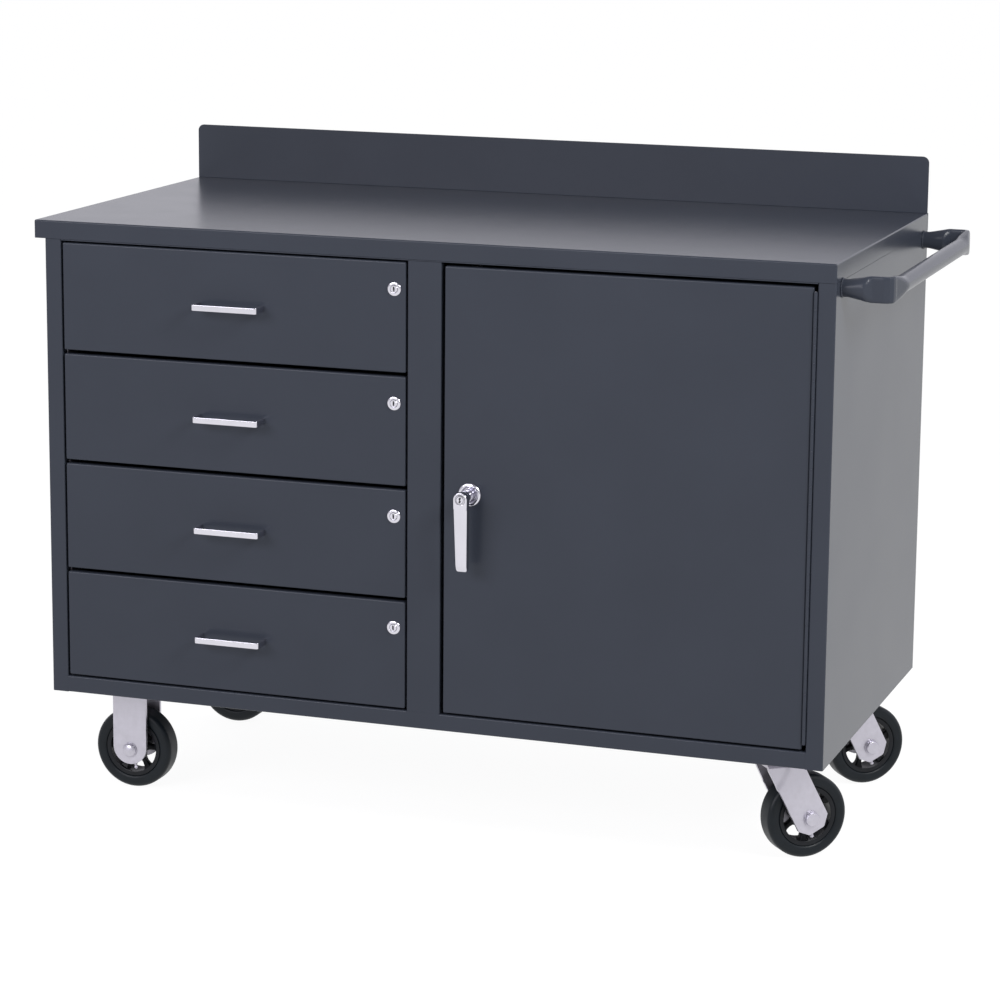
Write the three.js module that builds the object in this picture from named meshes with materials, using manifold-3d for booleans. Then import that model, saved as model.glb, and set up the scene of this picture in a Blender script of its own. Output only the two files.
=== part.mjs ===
// Mobile steel workbench: four locking drawers on the left, a cupboard with a lever-latched door on the
// right, a flanged worktop with a backsplash, a push handle on the right end, two rigid casters under the
// left end and two swivel casters under the right end.
//
// Millimetres, +Z up. In this file x runs from the middle of the cabinet to the right, y from the front
// face towards the back and z from the floor up. At the end the whole bench is moved so that its origin
// is the middle of its footprint on the floor.

import * as THREE from "three";
import { mergeVertices } from "three/addons/utils/BufferGeometryUtils.js";
import Module from "manifold-3d";

const wasm = await Module();
wasm.setup();

// Driving dimensions.
const CABINET_WIDTH = 1219;
const CABINET_DEPTH = 610;
const CASTER_HEIGHT = 172;
const WORK_HEIGHT = 903;
const SHEET = 1.5; // 16 gauge steel
const GAP = 0.3; // left between pieces that touch

const TOP_FLANGE = 27.5;
const TOP_OVERHANG = 17.5; // past the left end only
const BACKSPLASH_HEIGHT = 88;
const BACKSPLASH_LEDGE = 8; // strip of the top behind the backsplash
const BACKSPLASH_CORNER = 10;

const SIDE_STILE = 26;
const MID_STILE = 52;
const BOTTOM_RAIL = 25.5;
const FRAME_LIP = 14; // returns behind the face frame
const REAR_FLANGE = 20;

const DRAWER_COUNT = 4;
const DRAWER_SPACING = 6; // between two drawer fronts
const FRONT_CLEARANCE = 3; // between a front and the frame around it
const LATCH_CLEARANCE = 5.5; // between the door and the middle stile
const DOOR_TOP_CLEARANCE = 5; // between the door and the header
const DRAWER_FRONT_DEPTH = 12;
const DRAWER_WALL = 1.2;
const DRAWER_BOX_START = 14; // above the lower edge of the front
const DRAWER_BOX_HEIGHT = 98; // its top edge stays below the lock
const DRAWER_BOX_BACK = 560;
const SLIDE_SPACE = 13; // from the opening's edge to the box
const SLIDE_FRONT = 20;
const SLIDE_BACK = 558;
const SLIDE_POST = 35; // depth of the two posts, which also stop this far below the openings' top
const SLIDE_OUTER_HEIGHT = 42;
const SLIDE_INNER_HEIGHT = 28;

const PULL_LENGTH = 105;
const PULL_HEIGHT = 9;
const PULL_STANDOFF = 30;
const PULL_STRAP = 3;

const DRAWER_LOCK_INSET = 17.5; // from the right edge of the front
const DRAWER_LOCK_DROP = 40; // from the upper edge of the front
const LOCK_FACE_RADIUS = 10.5;
const LOCK_BARREL_RADIUS = 8;
const LOCK_PLUG_RADIUS = 5.5;
const LOCK_CAM_REACH = 27;

const DOOR_DEPTH = 20;
const HINGE_SPACE = 6; // between the door and the right stile
const HINGE_RADIUS = 2.7;
const HINGE_LEAF = 1;
const HINGE_KNUCKLES = 10;

const HANDLE_INSET = 40.5; // from the left edge of the door
const ROSE_RADIUS = 17.5;
const LEVER_TOP_RADIUS = 10.5;
const LEVER_END_HALF = 8.25;
const LEVER_CORNER = 3;
const LEVER_LENGTH = 119;
const LEVER_FRONT = 43; // ahead of the door's face
const LEVER_THICKNESS = 12;
const SPINDLE_RADIUS = 6;
const KEY_PLUG_RADIUS = 7.25;
const ROD_FRONT = 21.5;
const ROD_THICKNESS = 3;
const ROD_WIDTH = 14;

const PUSH_TUBE_RADIUS = 12.7;
const PUSH_HEIGHT = 865;
const PUSH_REACH = 70; // from the end panel to the middle of the bar
const PUSH_BEND = 30;
const PUSH_FRONT_ARM = 37;
const PUSH_REAR_ARM = 578;

const WHEEL_RADIUS = 63.5;
const TYRE_HALF_WIDTH = 18;
const TYRE_INNER_RADIUS = 45.3;
const RIM_RADIUS = 45;
const HUB_RADIUS = 16;
const HUB_HALF_LENGTH = 22.5;
const SPOKES = 6;
const WHEEL_SIDES = 24;
const AXLE_RADIUS = 6;
const LEG_INNER = 23.5;
const LEG_OUTER = 28.5;
const RIGID_LEG_HALF = 28;
const RIGID_LEG_END = 5; // the round end is centred this far above the axle
const SWIVEL_LEG_HALF = 26;
const SWIVEL_LEG_END = 22; // past the axle
const SWIVEL_TRAIL = 42;
const SWIVEL_REST_ANGLE = THREE.MathUtils.degToRad(40);
const CASTER_X = 518; // from the middle of the cabinet
const CASTER_INSET = 107; // from the front and back faces

// Places that follow from them.
const LEFT = -CABINET_WIDTH / 2;
const RIGHT = CABINET_WIDTH / 2;
const BACK = CABINET_DEPTH;
const FLANGE_BOTTOM = WORK_HEIGHT - TOP_FLANGE;
const TOP_UNDERSIDE = WORK_HEIGHT - SHEET;
const OPENING_BOTTOM = CASTER_HEIGHT + BOTTOM_RAIL;
const OPENING_TOP = FLANGE_BOTTOM - GAP - SHEET;
const DRAWER_OPENING = [LEFT + SIDE_STILE, -MID_STILE / 2];
const DOOR_OPENING = [MID_STILE / 2, RIGHT - SIDE_STILE];
const BACK_PANEL_FRONT = BACK - 2 * SHEET - GAP;
const TOP_BACK = BACK - BACKSPLASH_LEDGE;
const TOP_LEFT = LEFT - TOP_OVERHANG;

const powderCoat = new THREE.MeshStandardMaterial({ color: 0x42464e, roughness: 0.45, metalness: 0.1 });
const galvanised = new THREE.MeshStandardMaterial({ color: 0xb4b4bc, roughness: 0.4, metalness: 0.8 });
const chrome = new THREE.MeshStandardMaterial({ color: 0xe6e6e8, roughness: 0.12, metalness: 1 });
const rubber = new THREE.MeshStandardMaterial({ color: 0x1b1c1e, roughness: 0.75, metalness: 0 });
const castIron = new THREE.MeshStandardMaterial({ color: 0x202226, roughness: 0.6, metalness: 0.3 });

// Solids.

function solid(geometry) {
  geometry.deleteAttribute("normal");
  geometry.deleteAttribute("uv");
  const welded = mergeVertices(geometry);
  return new wasm.Manifold(
    new wasm.Mesh({
      numProp: 3,
      vertProperties: new Float32Array(welded.attributes.position.array),
      triVerts: new Uint32Array(welded.index.array),
    }),
  );
}

function block(x0, x1, y0, y1, z0, z1) {
  const geometry = new THREE.BoxGeometry(x1 - x0, y1 - y0, z1 - z0);
  geometry.translate((x0 + x1) / 2, (y0 + y1) / 2, (z0 + z1) / 2);
  return solid(geometry);
}

function outline(points) {
  return new THREE.Shape(points.map(([a, b]) => new THREE.Vector2(a, b)));
}

// A shape drawn in (y, z) and carried along x, in (x, z) along y, or in (x, y) along z.
function extrude(shape, axis, from, to, curveSegments = 10) {
  const geometry = new THREE.ExtrudeGeometry(shape, {
    depth: to - from,
    bevelEnabled: false,
    curveSegments,
  });
  const turn = new THREE.Matrix4();
  if (axis === "x") {
    turn.makeBasis(
      new THREE.Vector3(0, 1, 0),
      new THREE.Vector3(0, 0, 1),
      new THREE.Vector3(1, 0, 0),
    );
    geometry.applyMatrix4(turn);
    geometry.translate(from, 0, 0);
  } else if (axis === "y") {
    turn.makeRotationX(Math.PI / 2);
    geometry.applyMatrix4(turn);
    geometry.translate(0, to, 0);
  } else {
    geometry.translate(0, 0, from);
  }
  return solid(geometry);
}

// A round bar along y or z through (a, b): (x, z) for y and (x, y) for z.
function bar(axis, a, b, radius, from, to, sides = 12) {
  const geometry = new THREE.CylinderGeometry(radius, radius, to - from, sides);
  const middle = (from + to) / 2;
  if (axis === "y") {
    geometry.translate(a, middle, b);
  } else {
    geometry.rotateX(Math.PI / 2);
    geometry.translate(a, b, middle);
  }
  return solid(geometry);
}

function joined(parts) {
  return parts.reduce((sum, part) => sum.add(part));
}

// A box open towards one side: the outer block less a hollow that runs out through that side.
function pan(outer, hollow) {
  return block(...outer).subtract(block(...hollow));
}

function piece(parent, name, body, material) {
  const raw = body.getMesh();
  const geometry = new THREE.BufferGeometry();
  geometry.setAttribute("position", new THREE.BufferAttribute(raw.vertProperties, 3));
  geometry.setIndex(new THREE.BufferAttribute(raw.triVerts, 1));
  geometry.computeVertexNormals();
  const mesh = new THREE.Mesh(geometry, material);
  mesh.name = name;
  parent.add(mesh);
}

// Cabinet.

// One folded sheet: end wall, front stile with its return, and rear flange. side is -1 or +1.
function endPanel(side) {
  const edge = CABINET_WIDTH / 2;
  const at = (inward, y) => [side * (edge - inward), y];
  const section = outline([
    at(0, 0),
    at(SIDE_STILE, 0),
    at(SIDE_STILE, FRAME_LIP),
    at(SIDE_STILE - SHEET, FRAME_LIP),
    at(SIDE_STILE - SHEET, SHEET),
    at(SHEET, SHEET),
    at(SHEET, BACK - SHEET),
    at(REAR_FLANGE, BACK - SHEET),
    at(REAR_FLANGE, BACK),
    at(0, BACK),
  ]);
  return extrude(section, "z", CASTER_HEIGHT, FLANGE_BOTTOM - GAP);
}

// A strip lapped inside the left wall rises into the overhanging top, and turns in under it.
function leftEndPanel() {
  const crest = TOP_UNDERSIDE - GAP;
  const strip = LEFT + SHEET - 0.5;
  const y0 = SHEET + GAP;
  const y1 = BACK_PANEL_FRONT - GAP;
  const rise = block(strip, strip + SHEET, y0, y1, FLANGE_BOTTOM - 20, crest);
  const turnIn = block(strip, strip + REAR_FLANGE, y0, y1, crest - SHEET, crest);
  return joined([endPanel(-1), rise, turnIn]);
}

// The right wall stops at the edge of the top's flange and turns in there.
function rightEndPanel() {
  const crest = FLANGE_BOTTOM - GAP;
  const turnIn = block(
    RIGHT - REAR_FLANGE, RIGHT, 0, BACK_PANEL_FRONT - GAP, crest - SHEET, crest,
  );
  return endPanel(1).add(turnIn);
}

// Floor with the front rail folded up from it and a flange at the back.
function bottomPanel() {
  const railEnd = RIGHT - SIDE_STILE - GAP;
  const floorEnd = RIGHT - SHEET - GAP;
  const behindLip = FRAME_LIP + GAP;
  const floorBack = BACK_PANEL_FRONT - GAP;
  const top = OPENING_BOTTOM;
  const floorOutline = outline([
    [-railEnd, 0],
    [railEnd, 0],
    [railEnd, behindLip],
    [floorEnd, behindLip],
    [floorEnd, floorBack],
    [-floorEnd, floorBack],
    [-floorEnd, behindLip],
    [-railEnd, behindLip],
  ]);
  const floor = extrude(floorOutline, "z", CASTER_HEIGHT, CASTER_HEIGHT + SHEET);
  const rail = block(-railEnd, railEnd, 0, SHEET, CASTER_HEIGHT, top);
  const railLip = block(-railEnd, railEnd, 0, FRAME_LIP, top - SHEET, top);
  const rear = block(-floorEnd, floorEnd, floorBack - SHEET, floorBack, CASTER_HEIGHT, top);
  return joined([floor, rail, railLip, rear]);
}

// Wall between drawers and cupboard, with the middle stile as a channel on its front edge.
function centrePartition() {
  const half = MID_STILE / 2;
  const low = OPENING_BOTTOM + GAP;
  const high = OPENING_TOP - GAP;
  const behindFrame = FRAME_LIP + 4;
  const rear = BACK_PANEL_FRONT - 2 * GAP - SHEET;
  const stile = block(-half, half, 0, SHEET, low, high);
  const leftLip = block(-half, -half + SHEET, 0, FRAME_LIP, low, high);
  const rightLip = block(half - SHEET, half, 0, FRAME_LIP, low, high);
  const web = block(-SHEET / 2, SHEET / 2, 0, rear, low, high);
  const floorToTop = block(
    -SHEET / 2, SHEET / 2, behindFrame, rear, CASTER_HEIGHT + SHEET + GAP, TOP_UNDERSIDE - GAP,
  );
  return joined([stile, leftLip, rightLip, web, floorToTop]);
}

// Channel that carries the front of the top. Its lower lip shows as a line above the openings.
function frontHeader() {
  const end = RIGHT - SIDE_STILE - GAP;
  const low = OPENING_TOP;
  const high = TOP_UNDERSIDE - GAP;
  const webFront = SHEET + GAP;
  const webBack = webFront + SHEET;
  const section = outline([
    [0, low],
    [FRAME_LIP, low],
    [FRAME_LIP, low + SHEET],
    [webBack, low + SHEET],
    [webBack, high - SHEET],
    [FRAME_LIP, high - SHEET],
    [FRAME_LIP, high],
    [webFront, high],
    [webFront, low + SHEET],
    [0, low + SHEET],
  ]);
  return extrude(section, "x", -end, end);
}

// Top sheet with flanges turned down at the front and both ends; the backsplash closes its back.
function workTop() {
  return pan(
    [TOP_LEFT, RIGHT, 0, TOP_BACK, FLANGE_BOTTOM, WORK_HEIGHT],
    [TOP_LEFT + SHEET, RIGHT - SHEET, SHEET, BACK, CASTER_HEIGHT, TOP_UNDERSIDE],
  );
}

// Upright sheet with rounded corners, folded back over a narrow ledge and down over the cabinet's back.
function backsplash() {
  const front = TOP_BACK + GAP;
  const crest = WORK_HEIGHT + BACKSPLASH_HEIGHT;
  const r = BACKSPLASH_CORNER;
  const face = new THREE.Shape();
  face.moveTo(TOP_LEFT, TOP_UNDERSIDE);
  face.lineTo(RIGHT, TOP_UNDERSIDE);
  face.lineTo(RIGHT, crest - r);
  face.absarc(RIGHT - r, crest - r, r, 0, Math.PI / 2, false);
  face.lineTo(TOP_LEFT + r, crest);
  face.absarc(TOP_LEFT + r, crest - r, r, Math.PI / 2, Math.PI, false);
  const upright = extrude(face, "y", front, front + SHEET, 5);
  const ledge = block(TOP_LEFT, RIGHT, front, BACK, TOP_UNDERSIDE, WORK_HEIGHT);
  const rear = block(TOP_LEFT, RIGHT, BACK - SHEET, BACK, FLANGE_BOTTOM, WORK_HEIGHT);
  const leftCap = block(TOP_LEFT, TOP_LEFT + SHEET, front, BACK, FLANGE_BOTTOM, WORK_HEIGHT);
  const rightCap = block(RIGHT - SHEET, RIGHT, front, BACK, FLANGE_BOTTOM, WORK_HEIGHT);
  return joined([upright, ledge, rear, leftCap, rightCap]);
}

function pushHandle() {
  const start = RIGHT + GAP;
  const reach = RIGHT + PUSH_REACH;
  const at = (x, y) => new THREE.Vector3(x, y, PUSH_HEIGHT);
  const route = new THREE.CurvePath();
  route.add(new THREE.LineCurve3(at(start, PUSH_FRONT_ARM), at(reach - PUSH_BEND, PUSH_FRONT_ARM)));
  route.add(
    new THREE.QuadraticBezierCurve3(
      at(reach - PUSH_BEND, PUSH_FRONT_ARM),
      at(reach, PUSH_FRONT_ARM),
      at(reach, PUSH_FRONT_ARM + PUSH_BEND),
    ),
  );
  route.add(
    new THREE.LineCurve3(at(reach, PUSH_FRONT_ARM + PUSH_BEND), at(reach, PUSH_REAR_ARM - PUSH_BEND)),
  );
  route.add(
    new THREE.QuadraticBezierCurve3(
      at(reach, PUSH_REAR_ARM - PUSH_BEND),
      at(reach, PUSH_REAR_ARM),
      at(reach - PUSH_BEND, PUSH_REAR_ARM),
    ),
  );
  route.add(new THREE.LineCurve3(at(reach - PUSH_BEND, PUSH_REAR_ARM), at(start, PUSH_REAR_ARM)));
  const section = new THREE.Shape();
  section.absarc(0, 0, PUSH_TUBE_RADIUS, 0, 2 * Math.PI, false);
  const tube = new THREE.ExtrudeGeometry(section, {
    extrudePath: route,
    steps: 34,
    curveSegments: 4,
    bevelEnabled: false,
  });
  return solid(tube);
}

// Loose shelf in the cupboard, with a flange turned down all round.
function shelf() {
  const left = SHEET / 2 + 1.5;
  const right = RIGHT - SHEET - 1.5;
  const front = 60;
  const back = 600;
  const low = 505;
  const high = 530;
  return pan(
    [left, right, front, back, low, high],
    [left + SHEET, right - SHEET, front + SHEET, back - SHEET, low - 1, high - SHEET],
  );
}

// Drawer slides of one side: four channels on two posts that stand against the wall. outward is -1 for
// the left wall and +1 for the partition.
function slideRack(outward) {
  const edge = outward < 0 ? DRAWER_OPENING[0] : DRAWER_OPENING[1];
  const wall = outward < 0 ? LEFT + SHEET + GAP : -SHEET / 2 - GAP;
  const span = (a, b, ...rest) => block(Math.min(a, b), Math.max(a, b), ...rest);
  const posts = [SLIDE_FRONT, SLIDE_BACK - SLIDE_POST].map((y) =>
    span(wall, edge, y, y + SLIDE_POST, CASTER_HEIGHT + SHEET + GAP, OPENING_TOP - SLIDE_POST),
  );
  const channels = drawerBottoms().map((bottom) => {
    const middle = bottom + drawerHeight() / 2;
    const half = SLIDE_OUTER_HEIGHT / 2;
    const inner = half - DRAWER_WALL;
    const channel = span(edge, edge - outward * 10, SLIDE_FRONT, SLIDE_BACK, middle - half, middle + half);
    const slot = span(
      edge - outward * DRAWER_WALL, edge - outward * 11, 0, BACK, middle - inner, middle + inner,
    );
    return channel.subtract(slot);
  });
  return joined([...posts, ...channels]);
}

// Drawers. Each one is drawn with z from the lower edge of its own front.

function drawerHeight() {
  const clear = OPENING_TOP - OPENING_BOTTOM - 2 * FRONT_CLEARANCE;
  return (clear - (DRAWER_COUNT - 1) * DRAWER_SPACING) / DRAWER_COUNT;
}

// Lower edges of the fronts, from the top drawer down.
function drawerBottoms() {
  const highest = OPENING_TOP - FRONT_CLEARANCE - drawerHeight();
  const pitch = drawerHeight() + DRAWER_SPACING;
  return Array.from({ length: DRAWER_COUNT }, (_, index) => highest - index * pitch);
}

const FRONT_LEFT = DRAWER_OPENING[0] + FRONT_CLEARANCE;
const FRONT_RIGHT = DRAWER_OPENING[1] - FRONT_CLEARANCE;
const LOCK_X = FRONT_RIGHT - DRAWER_LOCK_INSET;
const LOCK_Z = drawerHeight() - DRAWER_LOCK_DROP;

function drawerFront() {
  const height = drawerHeight();
  const shell = pan(
    [FRONT_LEFT, FRONT_RIGHT, 0, DRAWER_FRONT_DEPTH, 0, height],
    [FRONT_LEFT + SHEET, FRONT_RIGHT - SHEET, SHEET, BACK, SHEET, height - SHEET],
  );
  const lockHole = bar("y", LOCK_X, LOCK_Z, LOCK_BARREL_RADIUS + 0.5, -1, SHEET + 1);
  return shell.subtract(lockHole);
}

// Open box with a slide bar on each side.
function drawerBox() {
  const left = DRAWER_OPENING[0] + SLIDE_SPACE;
  const right = DRAWER_OPENING[1] - SLIDE_SPACE;
  const front = SHEET + GAP;
  const low = DRAWER_BOX_START;
  const high = low + DRAWER_BOX_HEIGHT;
  const middle = drawerHeight() / 2;
  const half = SLIDE_INNER_HEIGHT / 2;
  const box = pan(
    [left, right, front, DRAWER_BOX_BACK, low, high],
    [left + DRAWER_WALL, right - DRAWER_WALL, front + DRAWER_WALL, DRAWER_BOX_BACK - DRAWER_WALL,
      low + DRAWER_WALL, high + 1],
  );
  const leftBar = block(left - 10, left + DRAWER_WALL, SLIDE_FRONT, SLIDE_BACK, middle - half, middle + half);
  const rightBar = block(
    right - DRAWER_WALL, right + 10, SLIDE_FRONT, SLIDE_BACK, middle - half, middle + half,
  );
  return joined([box, leftBar, rightBar]);
}

// Flat strap bent into a shallow bow, standing on the middle of the front.
function drawerPull() {
  const middle = (FRONT_LEFT + FRONT_RIGHT) / 2;
  const half = PULL_LENGTH / 2;
  const r = 4;
  const t = PULL_STRAP;
  const strap = new THREE.Shape();
  strap.moveTo(middle - half, -GAP);
  strap.lineTo(middle - half, -PULL_STANDOFF + r);
  strap.absarc(middle - half + r, -PULL_STANDOFF + r, r, Math.PI, 1.5 * Math.PI, false);
  strap.lineTo(middle + half - r, -PULL_STANDOFF);
  strap.absarc(middle + half - r, -PULL_STANDOFF + r, r, 1.5 * Math.PI, 2 * Math.PI, false);
  strap.lineTo(middle + half, -GAP);
  strap.lineTo(middle + half - t, -GAP);
  strap.lineTo(middle + half - t, -PULL_STANDOFF + t);
  strap.lineTo(middle - half + t, -PULL_STANDOFF + t);
  strap.lineTo(middle - half + t, -GAP);
  const z = drawerHeight() / 2;
  return extrude(strap, "z", z - PULL_HEIGHT / 2, z + PULL_HEIGHT / 2, 3);
}

function drawerLockBody() {
  const face = bar("y", LOCK_X, LOCK_Z, LOCK_FACE_RADIUS, -2, -GAP);
  const barrel = bar("y", LOCK_X, LOCK_Z, LOCK_BARREL_RADIUS, -1, 13.5);
  const nut = bar("y", LOCK_X, LOCK_Z, LOCK_FACE_RADIUS, 4, 7, 6);
  const bore = bar("y", LOCK_X, LOCK_Z, LOCK_PLUG_RADIUS + 0.4, -3, 15);
  return joined([face, barrel, nut]).subtract(bore);
}

// Round plug with a key slot in its face and the locking cam on its inner end, pointing up.
function drawerLockPlug() {
  const plug = bar("y", LOCK_X, LOCK_Z, LOCK_PLUG_RADIUS, -2.5, 17);
  const camHalf = 6.5;
  const cam = block(
    LOCK_X - camHalf, LOCK_X + camHalf, FRAME_LIP + 0.4, FRAME_LIP + 2.4,
    LOCK_Z - camHalf, LOCK_Z + LOCK_CAM_REACH,
  );
  const keySlot = block(LOCK_X - 0.9, LOCK_X + 0.9, -3, -1.2, LOCK_Z - 3.8, LOCK_Z + 3.8);
  return plug.add(cam).subtract(keySlot);
}

function addDrawers(bench) {
  drawerBottoms().forEach((bottom, index) => {
    const number = index + 1;
    const drawer = new THREE.Group();
    drawer.position.z = bottom;
    piece(drawer, `drawer_front_${number}`, drawerFront(), powderCoat);
    piece(drawer, `drawer_box_${number}`, drawerBox(), powderCoat);
    piece(drawer, `drawer_pull_${number}`, drawerPull(), chrome);
    piece(drawer, `drawer_lock_body_${number}`, drawerLockBody(), chrome);
    piece(drawer, `drawer_lock_plug_${number}`, drawerLockPlug(), chrome);
    bench.add(drawer);
  });
}

// Door.

const DOOR_LEFT = DOOR_OPENING[0] + LATCH_CLEARANCE;
const DOOR_RIGHT = DOOR_OPENING[1] - HINGE_SPACE;
const DOOR_LOW = OPENING_BOTTOM + FRONT_CLEARANCE;
const DOOR_HIGH = OPENING_TOP - DOOR_TOP_CLEARANCE;
const HINGE_X = DOOR_OPENING[1] - HINGE_SPACE / 2;
const HANDLE_X = DOOR_LEFT + HANDLE_INSET;
const HANDLE_Z = (DOOR_LOW + DOOR_HIGH) / 2;

function doorPanel() {
  const shell = pan(
    [DOOR_LEFT, DOOR_RIGHT, 0, DOOR_DEPTH, DOOR_LOW, DOOR_HIGH],
    [DOOR_LEFT + SHEET, DOOR_RIGHT - SHEET, SHEET, BACK, DOOR_LOW + SHEET, DOOR_HIGH - SHEET],
  );
  return shell.subtract(bar("y", HANDLE_X, HANDLE_Z, SPINDLE_RADIUS + 1, -1, SHEET + 1));
}

// Continuous hinge. The knuckles of the two leaves take turns along one axis at the face of the cabinet.
const HINGE_LOW = DOOR_LOW + 8;
const HINGE_HIGH = DOOR_HIGH - 6;
const HINGE_LEAF_FRONT = HINGE_RADIUS + 0.5;
const HINGE_LEAF_BACK = 16;
const HINGE_WEB_FRONT = 0.5;

// Knuckle spans of one leaf: every second step, starting with the first for the frame's leaf.
function knuckleSpans(first) {
  const pitch = (HINGE_HIGH - HINGE_LOW) / HINGE_KNUCKLES;
  const spans = [];
  for (let index = first; index < HINGE_KNUCKLES; index += 2) {
    spans.push([HINGE_LOW + index * pitch + GAP / 2, HINGE_LOW + (index + 1) * pitch - GAP / 2]);
  }
  return spans;
}

// side is -1 for the leaf on the door and +1 for the leaf on the stile.
function hingeLeaf(side, first) {
  const outer = HINGE_X + side * HINGE_RADIUS;
  const inner = outer - side * HINGE_LEAF;
  const x0 = Math.min(outer, inner);
  const x1 = Math.max(outer, inner);
  const leaf = block(x0, x1, HINGE_LEAF_FRONT, HINGE_LEAF_BACK, HINGE_LOW, HINGE_HIGH);
  const parts = [leaf];
  for (const [low, high] of knuckleSpans(first)) {
    parts.push(bar("z", HINGE_X, 0, HINGE_RADIUS, low, high, 8));
    parts.push(block(x0, x1, HINGE_WEB_FRONT, HINGE_LEAF_BACK, low, high));
  }
  return joined(parts);
}

// The pin is staked into the frame's leaf, so the two are one piece.
function hingeFrameLeaf() {
  return hingeLeaf(1, 0).add(bar("z", HINGE_X, 0, 1.1, HINGE_LOW, HINGE_HIGH, 6));
}

function hingeDoorLeaf() {
  return hingeLeaf(-1, 1).subtract(bar("z", HINGE_X, 0, 1.5, HINGE_LOW - 1, HINGE_HIGH + 1, 8));
}

function handleRose() {
  const disc = bar("y", HANDLE_X, HANDLE_Z, ROSE_RADIUS, -4, -GAP, 20);
  return disc.subtract(bar("y", HANDLE_X, HANDLE_Z, SPINDLE_RADIUS + 0.6, -5, 1));
}

// Tapered lever hanging from a round shank, on a spindle that runs through the door.
function doorHandle() {
  const low = HANDLE_Z + LEVER_TOP_RADIUS - LEVER_LENGTH;
  const r = LEVER_CORNER;
  const lever = new THREE.Shape();
  lever.absarc(HANDLE_X, HANDLE_Z, LEVER_TOP_RADIUS, 0, Math.PI, false);
  lever.absarc(HANDLE_X - LEVER_END_HALF + r, low + r, r, Math.PI, 1.5 * Math.PI, false);
  lever.absarc(HANDLE_X + LEVER_END_HALF - r, low + r, r, 1.5 * Math.PI, 2 * Math.PI, false);
  const arm = extrude(lever, "y", -LEVER_FRONT, -LEVER_FRONT + LEVER_THICKNESS, 6);
  const shank = bar("y", HANDLE_X, HANDLE_Z, 9.5, -LEVER_FRONT + 1, -4 - GAP);
  const spindle = bar("y", HANDLE_X, HANDLE_Z, SPINDLE_RADIUS, -5, 31);
  const plugBore = bar("y", HANDLE_X, HANDLE_Z, KEY_PLUG_RADIUS + 0.4, -LEVER_FRONT - 1, -34);
  return joined([arm, shank, spindle]).subtract(plugBore);
}

function handleLockPlug() {
  const plug = bar("y", HANDLE_X, HANDLE_Z, KEY_PLUG_RADIUS, -LEVER_FRONT - 0.8, -34 - GAP);
  const slot = block(
    HANDLE_X - 0.9, HANDLE_X + 0.9, -LEVER_FRONT - 2, -LEVER_FRONT + 1.5, HANDLE_Z - 4, HANDLE_Z + 4,
  );
  return plug.subtract(slot);
}

// Plate on the spindle that drives the two rods. Its tongue points up with the lever hanging down.
function latchCam() {
  const front = ROD_FRONT + ROD_THICKNESS + 0.5;
  const tongue = block(HANDLE_X - 9, HANDLE_X + 9, front, front + 3, HANDLE_Z, HANDLE_Z + 50);
  const disc = bar("y", HANDLE_X, HANDLE_Z, 18, front, front + 3, 16);
  const bore = bar("y", HANDLE_X, HANDLE_Z, SPINDLE_RADIUS + 0.5, front - 1, front + 4);
  return disc.add(tongue).subtract(bore);
}

function lockRod(low, high) {
  const half = ROD_WIDTH / 2;
  return block(HANDLE_X - half, HANDLE_X + half, ROD_FRONT, ROD_FRONT + ROD_THICKNESS, low, high);
}

function addDoor(bench) {
  piece(bench, "door_panel", doorPanel(), powderCoat);
  piece(bench, "hinge_door_leaf", hingeDoorLeaf(), powderCoat);
  piece(bench, "hinge_frame_leaf", hingeFrameLeaf(), powderCoat);
  piece(bench, "handle_rose", handleRose(), chrome);
  piece(bench, "door_handle", doorHandle(), chrome);
  piece(bench, "handle_lock_plug", handleLockPlug(), chrome);
  piece(bench, "latch_cam", latchCam(), galvanised);
  piece(bench, "lock_rod_upper", lockRod(HANDLE_Z + 10, DOOR_HIGH - 2), galvanised);
  piece(bench, "lock_rod_lower", lockRod(DOOR_LOW + 2, HANDLE_Z - 10), galvanised);
}

// Casters. Each one is drawn with its mounting plate centred on x = 0, y = 0 and its wheel rolling along x.

const PLATE_TOP = CASTER_HEIGHT - GAP;
const PLATE_BOTTOM = PLATE_TOP - 6;

function mountingPlate() {
  return block(-51, 51, -57, 57, PLATE_BOTTOM, PLATE_TOP);
}

function legPair(shape) {
  return [-1, 1].map((side) => {
    const near = side * LEG_INNER;
    const far = side * LEG_OUTER;
    return extrude(shape, "y", Math.min(near, far), Math.max(near, far), 6);
  });
}

function axleHole(x) {
  return bar("y", x, WHEEL_RADIUS, AXLE_RADIUS + 0.5, -LEG_OUTER - 1, LEG_OUTER + 1);
}

function rigidFork() {
  const leg = new THREE.Shape();
  leg.moveTo(-RIGID_LEG_HALF, PLATE_BOTTOM + 1);
  leg.absarc(0, WHEEL_RADIUS + RIGID_LEG_END, RIGID_LEG_HALF, Math.PI, 2 * Math.PI, false);
  leg.lineTo(RIGID_LEG_HALF, PLATE_BOTTOM + 1);
  return joined([mountingPlate(), ...legPair(leg)]).subtract(axleHole(0));
}

// Fixed half of a swivel caster: plate, raceway, kingpin and its nut.
function swivelPlate() {
  const raceway = bar("z", 0, 0, 36, 155, PLATE_BOTTOM + 1, 16);
  const kingpin = bar("z", 0, 0, 7, 140, PLATE_BOTTOM);
  const nut = bar("z", 0, 0, 12, 139, 145.5, 6);
  return joined([mountingPlate(), raceway, kingpin, nut]);
}

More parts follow.
